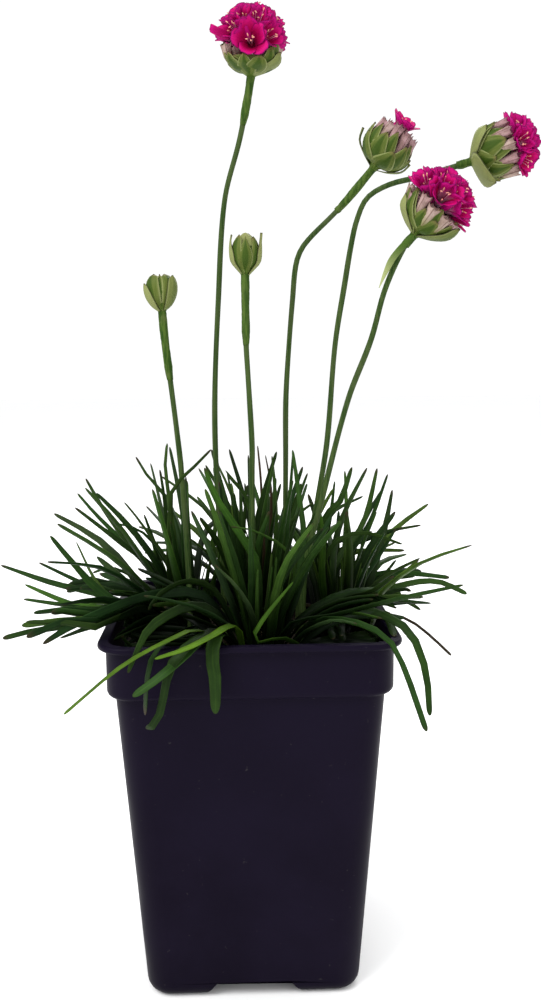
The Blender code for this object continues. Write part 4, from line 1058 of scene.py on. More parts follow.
for crown, (x, y, r, seed) in crowns.items():
    draw = random.Random(seed)
    look = random.Random("look " + crown)
    bm = with_values(bmesh.new(), "dry")
    heart(bm, crown)
    placed = [(crown, *entry) for entry in placed_leaves[crown]]
    rules = [rule for rule in grown_leaves if rule[0] == crown for k in range(rule[1])]
    spots = crown_spots(crown, len(placed) + len(rules) + spare_spots)
    neighbours = []
    for ways_of, wishes, enough, shown in (
        (placed_ways, placed, placed_choices, placed_shown),
        (grown_ways, rules, grown_choices, grown_shown),
    ):
        own_way = ways_of is placed_ways
        for wish in wishes:
            choice = freest(ways_of(wish, spots, draw), neighbours, enough)
            if choice is None:
                continue
            met, root, points, width, twist, rings = choice
            spots.remove(root)
            neighbours.append(leaf_tree(points, width, twist, 0.0, rings))
            tint = wish[1] if own_way else look.choices(grown_tints, grown_weights)[0]
            dry = look.uniform(0.0, 0.05)
            turned = shown_twist(points, twist, shown)
            test = leaf_tree(points, width, turned, 0.0, rings)
            if not any(test.overlap(other) for other in firm):
                twist = turned
            kind = "fine" if own_way else "plain"
            blade(bm, points, width, twist, shade_of(tint, look), dry, look, kind)
    for tuft, count, edge, sides, furthest, level in low_leaves:
        for index in range(count if tuft == crown else 0):
            over = look.uniform(*sides)
            reach = look.uniform(1.12, furthest) * edge
            points = [root_place(crown, 0.8 * r, math.atan2(over - y, edge - x))]
            heights = (level - look.uniform(0, 5), level + look.uniform(-1, 2))
            for share, rise in zip((0.45, 1.0), heights):
                points.append(Vector((x + share * (edge - x), y + share * (over - y), rise)) * mm)
            beyond = 1.15 * over + look.uniform(-4, 4)
            tip = Vector((reach, beyond, level + look.uniform(-4, 5))) * mm
            if abs(edge) < inner_edge:
                tip.x = min(mouth_reach[0], max(-mouth_reach[0], tip.x))
                tip.y = min(mouth_reach[1], max(-mouth_reach[1], tip.y))
            arch = Vector((0.0, 0.0, look.uniform(0, 2.5) * mm))
            points += [0.5 * (points[-1] + tip) + arch, tip]
            tint = look.choices(grown_tints[:3], low_weights)[0]
            twist = shown_twist(points, look.uniform(20, 50), low_shown)
            width = look.uniform(2.4, 3.6) * mm
            shade = shade_of(tint, look)
            blade(bm, points, width, twist, shade, look.uniform(0, 0.04), look)
    for kind, count, lengths, starts, ends, sway, widths, twists, dry in small_leaves:
        for index in range(count):
            turn = look.uniform(0, 2 * math.pi)
            stand = look.uniform(0.0, 0.7) if kind == "fresh" else 0.8
            root = root_place(crown, stand * r, turn)
            points = bristle(root, math.degrees(turn), look.uniform(*lengths) * mm,
                             look.uniform(*starts), look.uniform(*ends), look.uniform(-sway, sway))
            if kind == "dry" and max(abs(points[-1].x), abs(points[-1].y)) > dead_reach:
                continue
            width = look.uniform(*widths) * mm
            twist = look.uniform(-twists, twists)
            blade(bm, points, width, twist, shade_of(kind, look), dry, look)
    piece("leaves_" + crown, bm, leaf_flesh, "leaf_green", "tuft_" + crown)
    others.append(solid_tree("tuft_" + crown))
for template in templates.values():
    template.free()

# Stems: one leafless scape for each head and bud, round and finely furrowed. Right under the head
# sits its sheath, a papery sleeve that is the folded-down foot of the bracts.
scape_radius = 1.0 * mm
sheath_radius = 1.35 * mm
sheath_step = 0.9 * mm
sheath_marks = 200
scape_sides = 14
scape_step = 2.6 * mm
scapes = [
    (
        "scape_1",
        [
            (-8, 3, 104), (-10, 4, 150), (-11.6, 4, 186), (-11.6, 4, 212), (-9.8, 4, 246),
            (-7.0, 3, 281), (-1.3, 2, 302), (1.7, 1, 316), (2.9, 0, 322.9),
        ],
        17,
    ),
    (
        "scape_2",
        [
            (16, 15, 104), (14.6, 11, 160), (14.7, 10, 188), (14.9, 10, 210), (16, 10, 228),
            (17.6, 10, 247), (19, 9.5, 260), (22, 9, 266.5), (32.6, 7, 277), (37, 6, 281.5),
            (46.5, 4, 292.5),
        ],
        20.5,
    ),
    (
        "scape_3",
        [
            (18, -12, 104), (18.4, -14, 142), (25.9, -19, 176), (34.3, -25, 211), (41.3, -30, 231),
            (45.2, -34, 247), (50.7, -37, 260), (54.1, -38, 264),
        ],
        6,
    ),
    (
        "scape_4",
        [
            (20, 0, 104), (21.2, 0, 147), (26.1, 0, 174), (29.4, -1, 195), (32.1, -3, 230),
            (35.4, -5, 252), (37.3, -6, 264), (39.3, -7, 273), (42.6, -9, 280), (49.8, -11, 284),
            (59.1, -13, 286), (69.5, -17, 288.3), (76.5, -19, 290.1),
        ],
        6,
    ),
    (
        "scape_bud_a",
        [
            (-21, -15, 104), (-22, -9, 150), (-24, -6, 186), (-25.1, -7, 199), (-26.5, -8, 213),
            (-27.5, -8.5, 222), (-28.8, -9, 235), (-29.3, -9, 242.6),
        ],
        25,
    ),
    (
        "scape_bud_b",
        [
            (3, -7, 104), (1.6, -9, 150), (1.6, -10, 185), (1.7, -10, 194), (1.1, -10, 208),
            (0.4, -10, 221.5), (0, -10, 230), (-0.1, -10, 254.7),
        ],
        25,
    ),
]


def swept(points, radius_at, sides, step):
    """Round rod along the smooth line through the points, its radius given for each share."""
    length = length_of(points)
    count = max(3, round(length / step))
    shares = [k / count for k in range(count + 1)]
    side = Vector((1.0, 0.0, 0.0))
    rings = []
    for t, (spot, heading) in zip(shares, along(points, shares)):
        side = (side - heading * side.dot(heading)).normalized()
        up = heading.cross(side)
        radius = radius_at(t)
        rings.append([
            spot + side * (radius * math.cos(a)) + up * (radius * math.sin(a))
            for a in around(sides)
        ])
    return loft(rings)


scape_skin, tree, shader, place = finish_of("scape_skin", 0.5, 0.07)
drawn_out = add(tree, "Mapping", {"Vector": place, "Scale": (1.0, 1.0, 0.04)}).outputs[0]
furrow = speckle(tree, drawn_out, 1500.0, 3.0)
cloud = speckle(tree, place, 45.0, 3.0)
fleck = speckle(tree, place, 700.0, 2.0)
tone = painted(
    tree, (0.018, 0.044, 0.008),
    ((0.048, 0.078, 0.020), furrow, 0.35, 0.65),
    ((0.050, 0.072, 0.024), cloud, 0.45, 0.7, 0.0, 0.6),
    ((0.050, 0.040, 0.018), fleck, 0.62, 0.72, 0.0, 0.35),
)
finished(tree, shader, tone, furrow, 0.35, 0.0002)

sheath_skin, tree, shader, place = finish_of("papery_sheath", 0.6, 0.08)
drawn_out = add(tree, "Mapping", {"Vector": place, "Scale": (1.0, 1.0, 0.08)}).outputs[0]
furrow = speckle(tree, drawn_out, 1300.0, 3.0)
cloud = speckle(tree, place, 160.0, 3.0)
tone = painted(
    tree, (0.018, 0.050, 0.005),
    ((0.062, 0.108, 0.017), furrow, 0.35, 0.65),
    ((0.085, 0.110, 0.032), cloud, 0.5, 0.72, 0.0, 0.7),
)
finished(tree, shader, tone, furrow, 0.4, 0.0003)

for name, points, sheath in scapes:
    draw = random.Random(name)
    line = [Vector(p) * mm for p in points]
    line[0] = line[0] + (line[1] - line[0]) * 0.2
    length = length_of(line)
    phase = draw.uniform(0, 6)

    def stalk_radius(t):
        """Radius of the stem: a little thinner going up, and uneven."""
        return scape_radius * (1.06 - 0.12 * t + 0.04 * math.sin(23 * t + phase))

    stalk = swept(line, stalk_radius, scape_sides, scape_step)
    piece("stalk_" + name[6:], stalk, scape_skin, "scape_green", name)
    shares = [k / sheath_marks for k in range(sheath_marks + 1)]
    ways = zip(shares, along(line, shares))
    top = [spot for t, (spot, heading) in ways if (1 - t) * length < sheath * mm]
    sleeve = [top[round(k * (len(top) - 1) / 5)] for k in range(6)]

    def sleeve_radius(t):
        """Radius of the sheath: it widens quickly from the stem."""
        widening = 0.80 + 0.28 * min(1.0, 5 * t)
        return sheath_radius * widening * (1 + 0.05 * math.sin(9 * t + phase))

    bm = swept(sleeve, sleeve_radius, scape_sides, sheath_step)
    for vert in bm.verts:
        low = 1 - min(1.0, (vert.co - sleeve[0]).length / (2.2 * mm))
        lump = noise.noise(vert.co * 1100.0)
        vert.co += Vector((0.10, 0.10, -1.6 * low)) * (lump * mm)
    piece("sleeve_" + name[6:], bm, sheath_skin, "scape_green")

# Flap: the sheath of head 3 has split, and a loose narrow piece of it hangs down beside the stem.
# It is green where it leaves the sheath, pale and papery at its end.
flap_places = [
    (53.4, -39.0, 263.6), (50.0, -38.6, 260.1), (46.9, -37.8, 256.3), (44.8, -36.6, 251.9),
    (43.0, -35.4, 247.3),
]
flap_line = [Vector(p) * mm for p in flap_places]
flap_half_width = 1.05 * mm
flap_step = 0.7 * mm
flap_flatness = 0.3
flap_skin, tree, shader, place = finish_of("pale_flap", 0.6, 0.08)
height = add(tree, "SeparateXYZ", {"Vector": place}).outputs["Z"]
tone = painted(tree, (0.34, 0.38, 0.16), ((0.050, 0.100, 0.014), height, 0.2485, 0.261))
finished(tree, shader, tone)


def flap_radius(t):
    """Radius of the flap: narrow where it leaves the sheath, and drawn out to a point."""
    foot = 0.55 + 0.45 * min(1.0, 4 * t)
    return flap_half_width * foot * max(0.12, 1 - max(0.0, t - 0.55) ** 1.3 * 2.6)


bm = swept(flap_line, flap_radius, scape_sides, flap_step)
middles = [spot for spot, heading in along(flap_line, [k / 60 for k in range(61)])]
for vert in bm.verts:
    middle = min(middles, key=lambda spot: (spot - vert.co).length)
    vert.co.y = middle.y + flap_flatness * (vert.co.y - middle.y)
piece("flap_3", bm, flap_skin, "scape_green")

# Cups: a bowl of broad overlapping bracts under each open head. Each is green along its keel and
# papery at its margins, and three rows of them sit on a fleshy base that widens from the stem.
# Directions on a head are degrees round its own stem, from the front, to the right.
heads = [
    {
        "name": "1", "foot": (2.9, 0.0, 323.2), "aim": (0.04, -0.10, 1.0),
        "bowl": [(1.3, -0.9), (2.1, 0.6), (6.0, 1.9), (8.9, 4.6), (9.7, 8.4), (9.7, 10.6)],
        "loose": [
            (66, 8.6, 0.2, 0.90, [(1.4, -0.6), (6.0, 1.3), (9.8, 3.6), (10.5, 6.6)]),
            (-97, 6.0, 0.8, 0.86, [(1.4, -0.6), (5.8, 2.0), (9.2, 5.0), (10.2, 9.6)]),
            (-52, 7.4, 0.5, 0.40, [(1.4, -0.6), (6.0, 1.2), (9.4, 3.2), (10.4, 5.6)]),
            (-16, 7.0, 0.6, 0.20, [(1.4, -0.6), (6.0, 1.2), (9.3, 3.0), (10.0, 4.9)]),
            (15, 8.2, 0.2, 0.55, [(1.4, -0.6), (6.2, 1.0), (9.5, 2.6), (10.1, 4.4)]),
            (40, 6.4, 0.5, 0.10, [(1.4, -0.6), (6.0, 1.6), (9.4, 4.2), (10.1, 7.6)]),
        ],
        "calyces": [
            (13, 1.95, [(4.4, 2.4), (7.9, 5.4), (9.0, 10.6)]),
            (9, 1.7, [(2.8, 3.2), (5.0, 6.6), (6.0, 10.2)]),
        ],
        "florets": [
            (-3, 86, 11.8, 6.6), (39, 74, 12.0, 5.6), (-42, 66, 12.6, 5.2), (84, 63, 12.4, 5.2),
            (128, 66, 12.4, 5.0), (172, 67, 12.4, 5.0), (-142, 66, 12.4, 5.0), (-94, 64, 12.4, 5.0),
            (-28, 44, 13.2, 4.9), (14, 45, 13.3, 5.1), (62, 44, 13.2, 5.0), (112, 42, 13.2, 4.8),
            (160, 42, 13.2, 4.8), (-152, 42, 13.2, 4.8), (-104, 42, 13.2, 4.8),
            (-66, 40, 13.2, 4.8), (10, 14, 13.6, 4.8), (130, 16, 13.6, 4.8), (-110, 16, 13.6, 4.8),
        ],
        "strays": [(-62, 77, 17.4, 1.6, 5.8, 90)],
        "shut": [(-15, 62, 10.5), (62, 60, 11.0), (30, 30, 12.0)], "floret_base": 8.6, "ball": 3.5,
    },
    {
        "name": "2", "foot": (46.7, 4.0, 292.8), "aim": (0.57, -0.20, 0.80),
        "bowl": [(1.3, -0.9), (1.9, 1.0), (5.8, 2.4), (8.6, 6.2), (8.6, 11.0), (7.6, 14.0)],
        "loose": [
            (-95, 5.0, 0.8, 0.88, [(1.4, -0.4), (5.6, 1.6), (9.8, 4.6), (10.9, 8.6)]),
            (-124, 6.0, 0.9, 0.30, [(1.4, -0.4), (5.6, 2.2), (8.8, 6.2), (9.2, 10.0)]),
            (96, 6.4, 0.8, 0.86, [(1.4, -0.4), (5.6, 1.3), (9.2, 4.2), (9.9, 8.0)]),
        ],
        "blush": 0.55,
        "calyces": [
            (11, 1.85, [(4.0, 2.6), (7.0, 7.4), (5.6, 14.2)]),
            (7, 1.8, [(2.4, 3.4), (4.4, 8.6), (3.4, 15.2)]),
            (3, 1.7, [(1.0, 4.0), (1.6, 9.4), (1.3, 15.8)]),
        ],
        "florets": [(2, 12, 8.8, 6.2)],
        "strays": [(-62, 24, 7.6, 1.0, 1.8, 180), (-20, 34, 6.0, 1.0, 1.6, 0)],
        "shut": [(-80, 24, 6.2), (150, 20, 6.0)], "floret_base": 10.8, "ball": 2.8,
    },
    {
        "name": "3", "foot": (54.3, -38.0, 264.3), "aim": (0.57, -0.22, 0.80),
        "bowl": [(1.3, -0.9), (1.9, 0.9), (5.8, 2.2), (8.9, 5.6), (9.7, 9.4), (9.7, 11.6)],
        "loose": [
            (-74, 8.8, 0.0, 0.96, [(1.4, -0.6), (5.4, 1.1), (9.4, 4.2), (10.2, 7.8)]),
            (-50, 6.0, 0.9, 0.20, [(1.4, -0.6), (5.8, 1.9), (9.8, 5.4), (10.5, 11.4)]),
            (66, 9.2, 0.1, 0.86, [(1.4, -0.6), (6.0, 1.3), (9.9, 4.4), (11.0, 8.8)]),
        ],
        "calyces": [
            (13, 1.95, [(4.4, 2.4), (7.9, 5.8), (9.0, 11.0)]),
            (9, 1.7, [(2.8, 3.2), (5.0, 6.6), (6.0, 10.4)]),
        ],
        "florets": [
            (-3, 56, 12.2, 6.2), (-53, 56, 12.2, 5.4), (52, 57, 12.0, 4.9), (98, 54, 12.0, 4.8),
            (144, 52, 12.2, 4.8), (-170, 52, 12.2, 4.8), (-124, 52, 12.2, 4.8),
            (-88, 52, 12.0, 4.8), (-24, 32, 12.8, 5.0), (30, 34, 12.8, 5.0), (88, 32, 12.8, 4.8),
            (150, 30, 12.8, 4.8), (-150, 30, 12.8, 4.8), (-88, 30, 12.8, 4.8), (0, 8, 13.0, 4.8),
        ],
        "strays": [(56, 76, 13.4, 2.0, 2.6, 70), (63, 80, 13.0, 2.2, 2.4, 30)],
        "shut": [(24, 60, 10.5), (-28, 62, 10.5)], "floret_base": 8.6, "ball": 3.5,
    },
    {
        "name": "4", "foot": (76.8, -19.0, 290.2), "aim": (0.93, -0.18, 0.32),
        "bowl": [(1.3, -0.9), (1.9, 0.9), (5.6, 2.4), (8.4, 6.2), (8.7, 10.8), (8.2, 13.4)],
        "loose": [
            (-58, 9.6, 0.0, 0.92, [(1.4, -0.6), (5.4, 1.3), (9.0, 3.9), (10.0, 7.0)]),
            (-58, 6.0, 0.5, 0.20, [(1.4, -0.6), (5.2, 1.6), (8.9, 4.8), (9.8, 9.6)]),
            (48, 16.0, 1.0, 0.92, [(1.4, -0.6), (5.6, 0.3), (9.6, 1.6), (13.4, 4.2)]),
            (44, 6.0, 0.9, 0.40, [(1.4, -0.6), (5.6, 1.8), (9.0, 5.8), (9.2, 11.6)]),
        ],
        "calyces": [
            (11, 1.85, [(4.2, 2.6), (7.3, 6.6), (7.6, 13.4)]),
            (7, 1.7, [(2.6, 3.4), (4.4, 8.0), (4.6, 13.2)]),
        ],
        "florets": [
            (2, 52, 11.0, 4.9), (54, 54, 11.0, 5.0), (106, 50, 10.8, 4.8), (157, 50, 10.8, 4.8),
            (-150, 50, 10.8, 4.8), (-100, 50, 10.8, 4.8), (-50, 48, 11.0, 5.0), (22, 20, 11.2, 4.8),
            (142, 20, 11.2, 4.8), (-98, 20, 11.2, 4.8),
        ],
        "strays": [(84, 62, 12.0, 2.4, 2.8, 60)], "shut": [(28, 50, 9.4), (-26, 50, 9.4)],
        "floret_base": 10.6, "ball": 3.0,
    },
]
bract_thickness = 0.20 * mm
bract_across = 8
bract_along = 10
bract_rows = (
    (5, 12, 0.62, 0.58, 0.76, 8.8), (6, 44, 0.34, 0.74, 0.92, 8.4), (7, 5, 0.10, 0.84, 1.00, 7.6),
)
base_share = 0.62
base_sides = 28
lowest_floret = 80
bare_side = 60
bare_share = 0.62


def round_place(radius, turn, height):
    """Place at a distance and direction from the middle, at a height."""
    return Vector((radius * math.cos(turn), radius * math.sin(turn), height))


def moved(bm, matrix):
    """Moves the whole mesh."""
    bmesh.ops.transform(bm, matrix=matrix, verts=bm.verts[:])
    return bm


def posed(bm, foot, aim):
    """Stands a mesh made about the origin on its foot, along the aim, its first side in front."""
    matrix = Vector(aim).to_track_quat("Z", "Y").to_matrix()
    front = matrix.inverted() @ Vector((0.0, -1.0, 0.0))
    spin = Matrix.Rotation(math.atan2(front.y, front.x), 4, "Z")
    moved(bm, Matrix.Translation(Vector(foot) * mm) @ matrix.to_4x4() @ spin)


def sheet_of(shape, across, lengthwise, thickness, own):
    """Thin closed piece: shape gives the place for a share along and a side from -1 to 1."""
    bm = with_values(bmesh.new(), "rib")
    bmesh.ops.create_grid(bm, x_segments=across, y_segments=lengthwise, size=1.0)
    for vert in bm.verts:
        u, t = vert.co.x, 0.5 * (vert.co.y + 1)
        mark(bm, vert, along=t, across=u, own=own)
        vert.co = shape(t, u)
    bmesh.ops.recalc_face_normals(bm, faces=bm.faces[:])
    bmesh.ops.solidify(bm, geom=bm.faces[:], thickness=thickness)
    bmesh.ops.recalc_face_normals(bm, faces=bm.faces[:])
    return bm


def upright(profile):
    """Line through a profile of radius and height, in millimetres."""
    return [Vector((r * mm, 0.0, z * mm)) for r, z in profile]


def apart(azimuth, turn):
    """Degrees between two directions."""
    return abs((azimuth - turn + 180) % 360 - 180)


def bract(profile, azimuth, width, own, reach=1.0, off=0.0, point=0.3):
    """Broad keeled bract along a share of a profile of radius and height, in millimetres."""
    ways = along(upright(profile), [reach * k / bract_along for k in range(bract_along + 1)])

    def shape(t, u):
        spot, heading = ways[round(t * bract_along)]
        rise = 0.30 + 0.70 * math.sin(0.5 * math.pi * min(1.0, t / 0.55))
        far = max(0.0, (t - 0.55) / 0.45)
        fall = math.sqrt(max(0.0, 1 - far * far)) * (1 - point) + (1 - far) * point
        half = 0.5 * width * mm * rise * max(0.05, fall)
        lift = off * min(1.0, 3 * t) * (1 - 0.45 * u * u) + 0.14 * u * t
        lift += 0.14 * t * math.exp(-((u / 0.16) ** 2))
        lift += 0.16 * t * t * math.sin(9 * own + 4 * u)
        radius = spot.x + heading.z * lift * mm
        height = spot.z - heading.x * lift * mm
        turn = math.radians(azimuth) + min(1.25, half / max(spot.x, 0.9 * mm)) * u
        return round_place(radius, turn, height)

    return sheet_of(shape, bract_across, bract_along, bract_thickness, own)


def fleshy_base(profile, share, inside):
    """Closed bowl right under the bracts, up to a share of their profile, with rings inside it."""
    shares = [share * k / 9 for k in range(10)]
    ways = [(spot.x, spot.z) for spot, heading in along(upright(profile), shares)]
    rings = []
    for radius, height in ways + [(r * mm, z * mm) for r, z in inside]:
        rings.append([round_place(radius, turn, height) for turn in around(base_sides)])
    bm = with_values(loft(rings), "rib")
    for vert in bm.verts:
        share = min(0.95, max(0.0, vert.co.z / ways[-1][1]))
        lines = 0.52 + 0.36 * math.sin(9 * math.atan2(vert.co.y, vert.co.x))
        mark(bm, vert, along=share, across=lines, own=0.3)
    return bm


bract_skin, tree, shader, place = finish_of("bract_skin", 0.55, 0.08)
length_share, own, from_rib, vein = veined(tree, (9.0, 1.6, 70.0), 1.7)
tone = painted(tree, (0.058, 0.086, 0.012), ((0.106, 0.132, 0.028), vein, 0.35, 0.65))
bulge = calc(tree, "SINE", calc(tree, "MULTIPLY", length_share, 3.1))
uneven = calc(tree, "ADD", from_rib, calc(tree, "MULTIPLY", vein, 0.16))
wedge = calc(tree, "SUBTRACT", uneven, calc(tree, "MULTIPLY", bulge, 0.36))
tone = painted(
    tree, tone,
    ((0.028, 0.060, 0.005), wedge, 0.0, 0.26, 0.85, 0.0),
    ((0.058, 0.106, 0.014), length_share, 0.0, 0.24, 0.8, 0.0),
    ((0.250, 0.270, 0.100), own, 0.82, 0.95, 0.0, 0.70),
    ((0.230, 0.255, 0.098), from_rib, 0.76, 0.96, 0.0, 0.75),
)
tip = rising(tree, length_share, 0.86, 1.0, 0.0, 0.5)
tanned = calc(tree, "MULTIPLY", tip, rising(tree, own, 0.5, 0.9, 1.0, 0.4))
tone = blended(tree, tanned, tone, (0.200, 0.140, 0.060))
# The dark line along the margins of the loose bracts is a painted dark outline, painted shade. The
# dark line at the very tip is the bract's own brown tip.
painted_outline_band = rising(tree, from_rib, 0.90, 0.99, 0.0, 0.8)
edge = calc(tree, "MULTIPLY", rising(tree, own, 0.82, 0.86), painted_outline_band)
edge = calc(tree, "MAXIMUM", edge, rising(tree, length_share, 0.965, 0.995, 0.0, 0.8))
tone = blended(tree, edge, tone, (0.034, 0.036, 0.016))
finished(tree, shader, tone, vein, 0.30, 0.0002)

for head in heads:
    draw = random.Random("cup " + head["name"])
    bowl = head["bowl"]
    radius, level = bowl[3]
    whole = fleshy_base(bowl, base_share, ((0.6 * radius, level - 0.4), (0.2 * radius, level)))
    for count, phase, off, least, most, width in bract_rows:
        for k in range(count):
            azimuth = 360 * k / count + phase + draw.uniform(-6, 6)
            wide = width * draw.uniform(0.88, 1.12)
            share = draw.uniform(least, most)
            for turn, tilt, reach, rim in head["florets"]:
                if tilt > lowest_floret and apart(azimuth, turn) < bare_side:
                    share = min(share, bare_share)
            own, point = 0.8 * draw.random(), draw.uniform(0.4, 1.0)
            gathered(whole, bract(bowl, azimuth, wide, own, share, off, point))
    for azimuth, width, point, own, profile in head["loose"]:
        gathered(whole, bract(profile, azimuth, width, own, 1.0, 0.0, point))
    posed(whole, head["foot"], head["aim"])
    piece("bracts_" + head["name"], whole, bract_skin, "bract_green", "cup_" + head["name"])

# Calyces: papery funnels, pleated, with five coloured ribs that end in short points. They stand
# packed in rings in the cup, show between the bracts and the petals, and are shorter under the
# florets that hang low.
calyx_sides = 20
calyx_rings = 7
pleat = 0.10
crease = 0.05
awn = 0.07
low_floret = 72
low_near = 36
lowest_near = 50
low_room = 0.42
side_floret = 55
side_near = 24
side_room = 0.82


def calyx(line, azimuth, mouth, own):
    """Five-ribbed papery funnel along a line of radius and height, in millimetres."""
    rings = []
    steps = [(k / (calyx_rings - 1), 1.0) for k in range(calyx_rings)]
    steps += [(0.985, 0.84), (0.70, 0.62)]
    for t, share in steps:
        ring = []
        for turn in around(calyx_sides):
            rib = math.cos(5 * turn)
            folds = pleat * rib + crease * math.cos(10 * turn)
            wide = share * (0.7 + (mouth - 0.7) * t**1.1) * (1 + folds * t)
            height = t + awn * max(0.0, rib) * t**6
            ring.append(round_place(wide, turn, height))
        rings.append(ring)
    bm = with_values(loft(rings), "rib")
    points = [Vector((r, 0.0, z)) for r, z in line]
    length = length_of(points)
    spin = Matrix.Rotation(math.radians(azimuth), 3, "Z")
    for vert in bm.verts:
        rib = math.cos(5 * math.atan2(vert.co.y, vert.co.x))
        mark(bm, vert, along=vert.co.z, rib=rib, own=own)
        spot, heading = along(points, [min(1.0, vert.co.z)])[0]
        out = Vector((0.0, 1.0, 0.0)).cross(heading)
        spot = spot + heading * (max(0.0, vert.co.z - 1) * length) + out * vert.co.x
        vert.co = spin @ (spot + Vector((0.0, vert.co.y, 0.0))) * mm
    bmesh.ops.recalc_face_normals(bm, faces=bm.faces[:])
    return bm


calyx_paper, tree, shader, place = finish_of("calyx_paper", 0.62, 0.10)
length_share, rib, own = [marked(tree, name) for name in ("along", "rib", "own")]
cloud = speckle(tree, place, 460.0, 4.0)
tone = painted(
    tree, (0.210, 0.205, 0.085),
    ((0.380, 0.280, 0.245), length_share, 0.35, 0.85),
    ((0.330, 0.170, 0.210), own, 0.35, 1.0, 0.0, 0.7),
    ((0.120, 0.064, 0.044), rib, 0.45, 1.0, 0.0, 0.75),
    ((0.420, 0.330, 0.240), rib, -1.0, -0.60, 0.40, 0.0),
    ((0.55, 0.50, 0.45), cloud, 0.35, 0.6, 0.7, 0.0, "MULTIPLY"),
)
finished(tree, shader, tone, cloud, 0.35, 0.0003)

for head in heads:
    draw = random.Random("calyces " + head["name"])
    whole = with_values(bmesh.new(), "rib")
    for count, mouth, line in head["calyces"]:
        for k in range(count):
            azimuth = 360 * k / count + draw.uniform(-4, 4)
            room = 1.0
            for turn, tilt, reach, rim in head["florets"]:
                near = apart(azimuth, turn)
                wide = lowest_near if tilt > lowest_floret else low_near
                if tilt >= low_floret and near < wide:
                    room = low_room
                elif tilt >= side_floret and near < side_near:
                    room = min(room, side_room)
            squat = min(1.0, 1.2 * room)
            grown = [(r * squat, z * room * draw.uniform(0.97, 1.03)) for r, z in line]
            own = min(1.0, draw.random() + head.get("blush", 0.0))
            gathered(whole, calyx(grown, azimuth, mouth * draw.uniform(0.9, 1.1), own))
    posed(whole, head["foot"], head["aim"])
    piece("calyx_ring_" + head["name"], whole, calyx_paper, "calyx_pink", "calyces_" + head["name"])

# Florets: each is a funnel of five broad petals with five long stamens. The petals are finely
# toothed and pale outside at the foot; painted shade darkens their edges as an outline and their
# throat. The florets stand packed into a dome, with a few strays and some that are still shut.
floret_sink = 0.65
tube_share = 0.7
petal_across = 6
petal_along = 4
petal_thickness = 0.13 * mm
filament_radius = 0.09 * mm
throat_radius = 1.1 * mm
anther_size = (0.20 * mm, 0.22 * mm, 0.56 * mm, 1.0)


def petal(angle, start, reach, rim, width, own, draw, corner=0.26, ragged=1.0):
    """One broad petal of a funnel that stands on the origin."""
    notch = ragged * draw.uniform(0.04, 0.13)
    bends = draw.uniform(5.0, 9.0)
    phase = draw.uniform(0, full_turn)
    teeth = [ragged * draw.uniform(-0.030, 0.015) for k in range(petal_across + 1)]
    open_more = draw.uniform(0.85, 1.12)
    cup = draw.uniform(0.0, 0.5)
    spin = Matrix.Rotation(math.radians(angle), 3, "Z")

    def shape(t, u):
        tooth_here = teeth[round(0.5 * (u + 1) * petal_across)]
        s = t * (1 - corner * abs(u) ** 2.4 - notch * math.exp(-((u / 0.18) ** 2)) + tooth_here)
        radius = 0.7 + (rim * open_more - 0.7) * (tube_share * s + (1 - tube_share) * s * s)
        height = start + (reach - start) * (1 - max(0.0, 1 - s) ** 1.3)
        half = 0.5 * width * (0.32 + 0.68 * math.sin(0.5 * math.pi * min(1.0, s / 0.82)))
        wrap = max(radius, 1.4)
        x = radius + wrap * (math.cos(half * u / wrap) - 1) * (0.5 + cup) + 0.16 * u
        ruffle = 0.20 * ragged * s * s * math.sin(bends * u + phase)
        side = wrap * math.sin(half * u / wrap)
        return spin @ Vector((x + 0.5 * ruffle, side, height + ruffle)) * mm

    bm = sheet_of(shape, petal_across, petal_along, petal_thickness, own)
    bm.normal_update()
    for vert in bm.verts:
        outward = Vector((vert.co.x, vert.co.y, 0.0)).normalized() - Vector((0.0, 0.0, 1.0))
        mark(bm, vert, rib=1.0 if vert.normal.dot(outward) > 0 else 0.0)
    return bm


def stamen(angle, start, reach, spread, draw):
    """Thin filament that carries one slender anther."""
    turn = math.radians(angle)
    out = round_place(1.0, turn, 0.0)
    points = [
        out * (0.4 * mm) + Vector((0, 0, start * mm)),
        out * (0.55 * spread * mm) + Vector((0, 0, (0.5 * start + 0.5 * reach) * mm)),
        out * (spread * mm) + Vector((0, 0, reach * mm)),
    ]
    thread = swept(points, lambda t: filament_radius * (1.15 - 0.3 * t), 5, 1.6 * mm)
    anther = bmesh.new()
    bmesh.ops.create_uvsphere(anther, u_segments=8, v_segments=6, radius=1.0)
    lean = Matrix.Rotation(draw.uniform(0.3, 1.4), 4, "Y")
    swing = Matrix.Rotation(turn + draw.uniform(-0.8, 0.8), 4, "Z")
    place = Matrix.Translation(points[-1]) @ swing @ lean
    return thread, moved(anther, place @ Matrix.Diagonal(anther_size))


def leaning(azimuth, tilt):
    """Turn that leans a floret by its tilt, towards its azimuth."""
    spin = Matrix.Rotation(math.radians(azimuth), 4, "Z")
    return spin @ Matrix.Rotation(math.radians(tilt), 4, "Y")


def shut_radius(t):
    """Radius of a floret that is still shut: a slim club."""
    return (0.35 + 0.95 * math.sin(math.pi * (0.1 + 0.82 * t)) ** 1.2) * mm


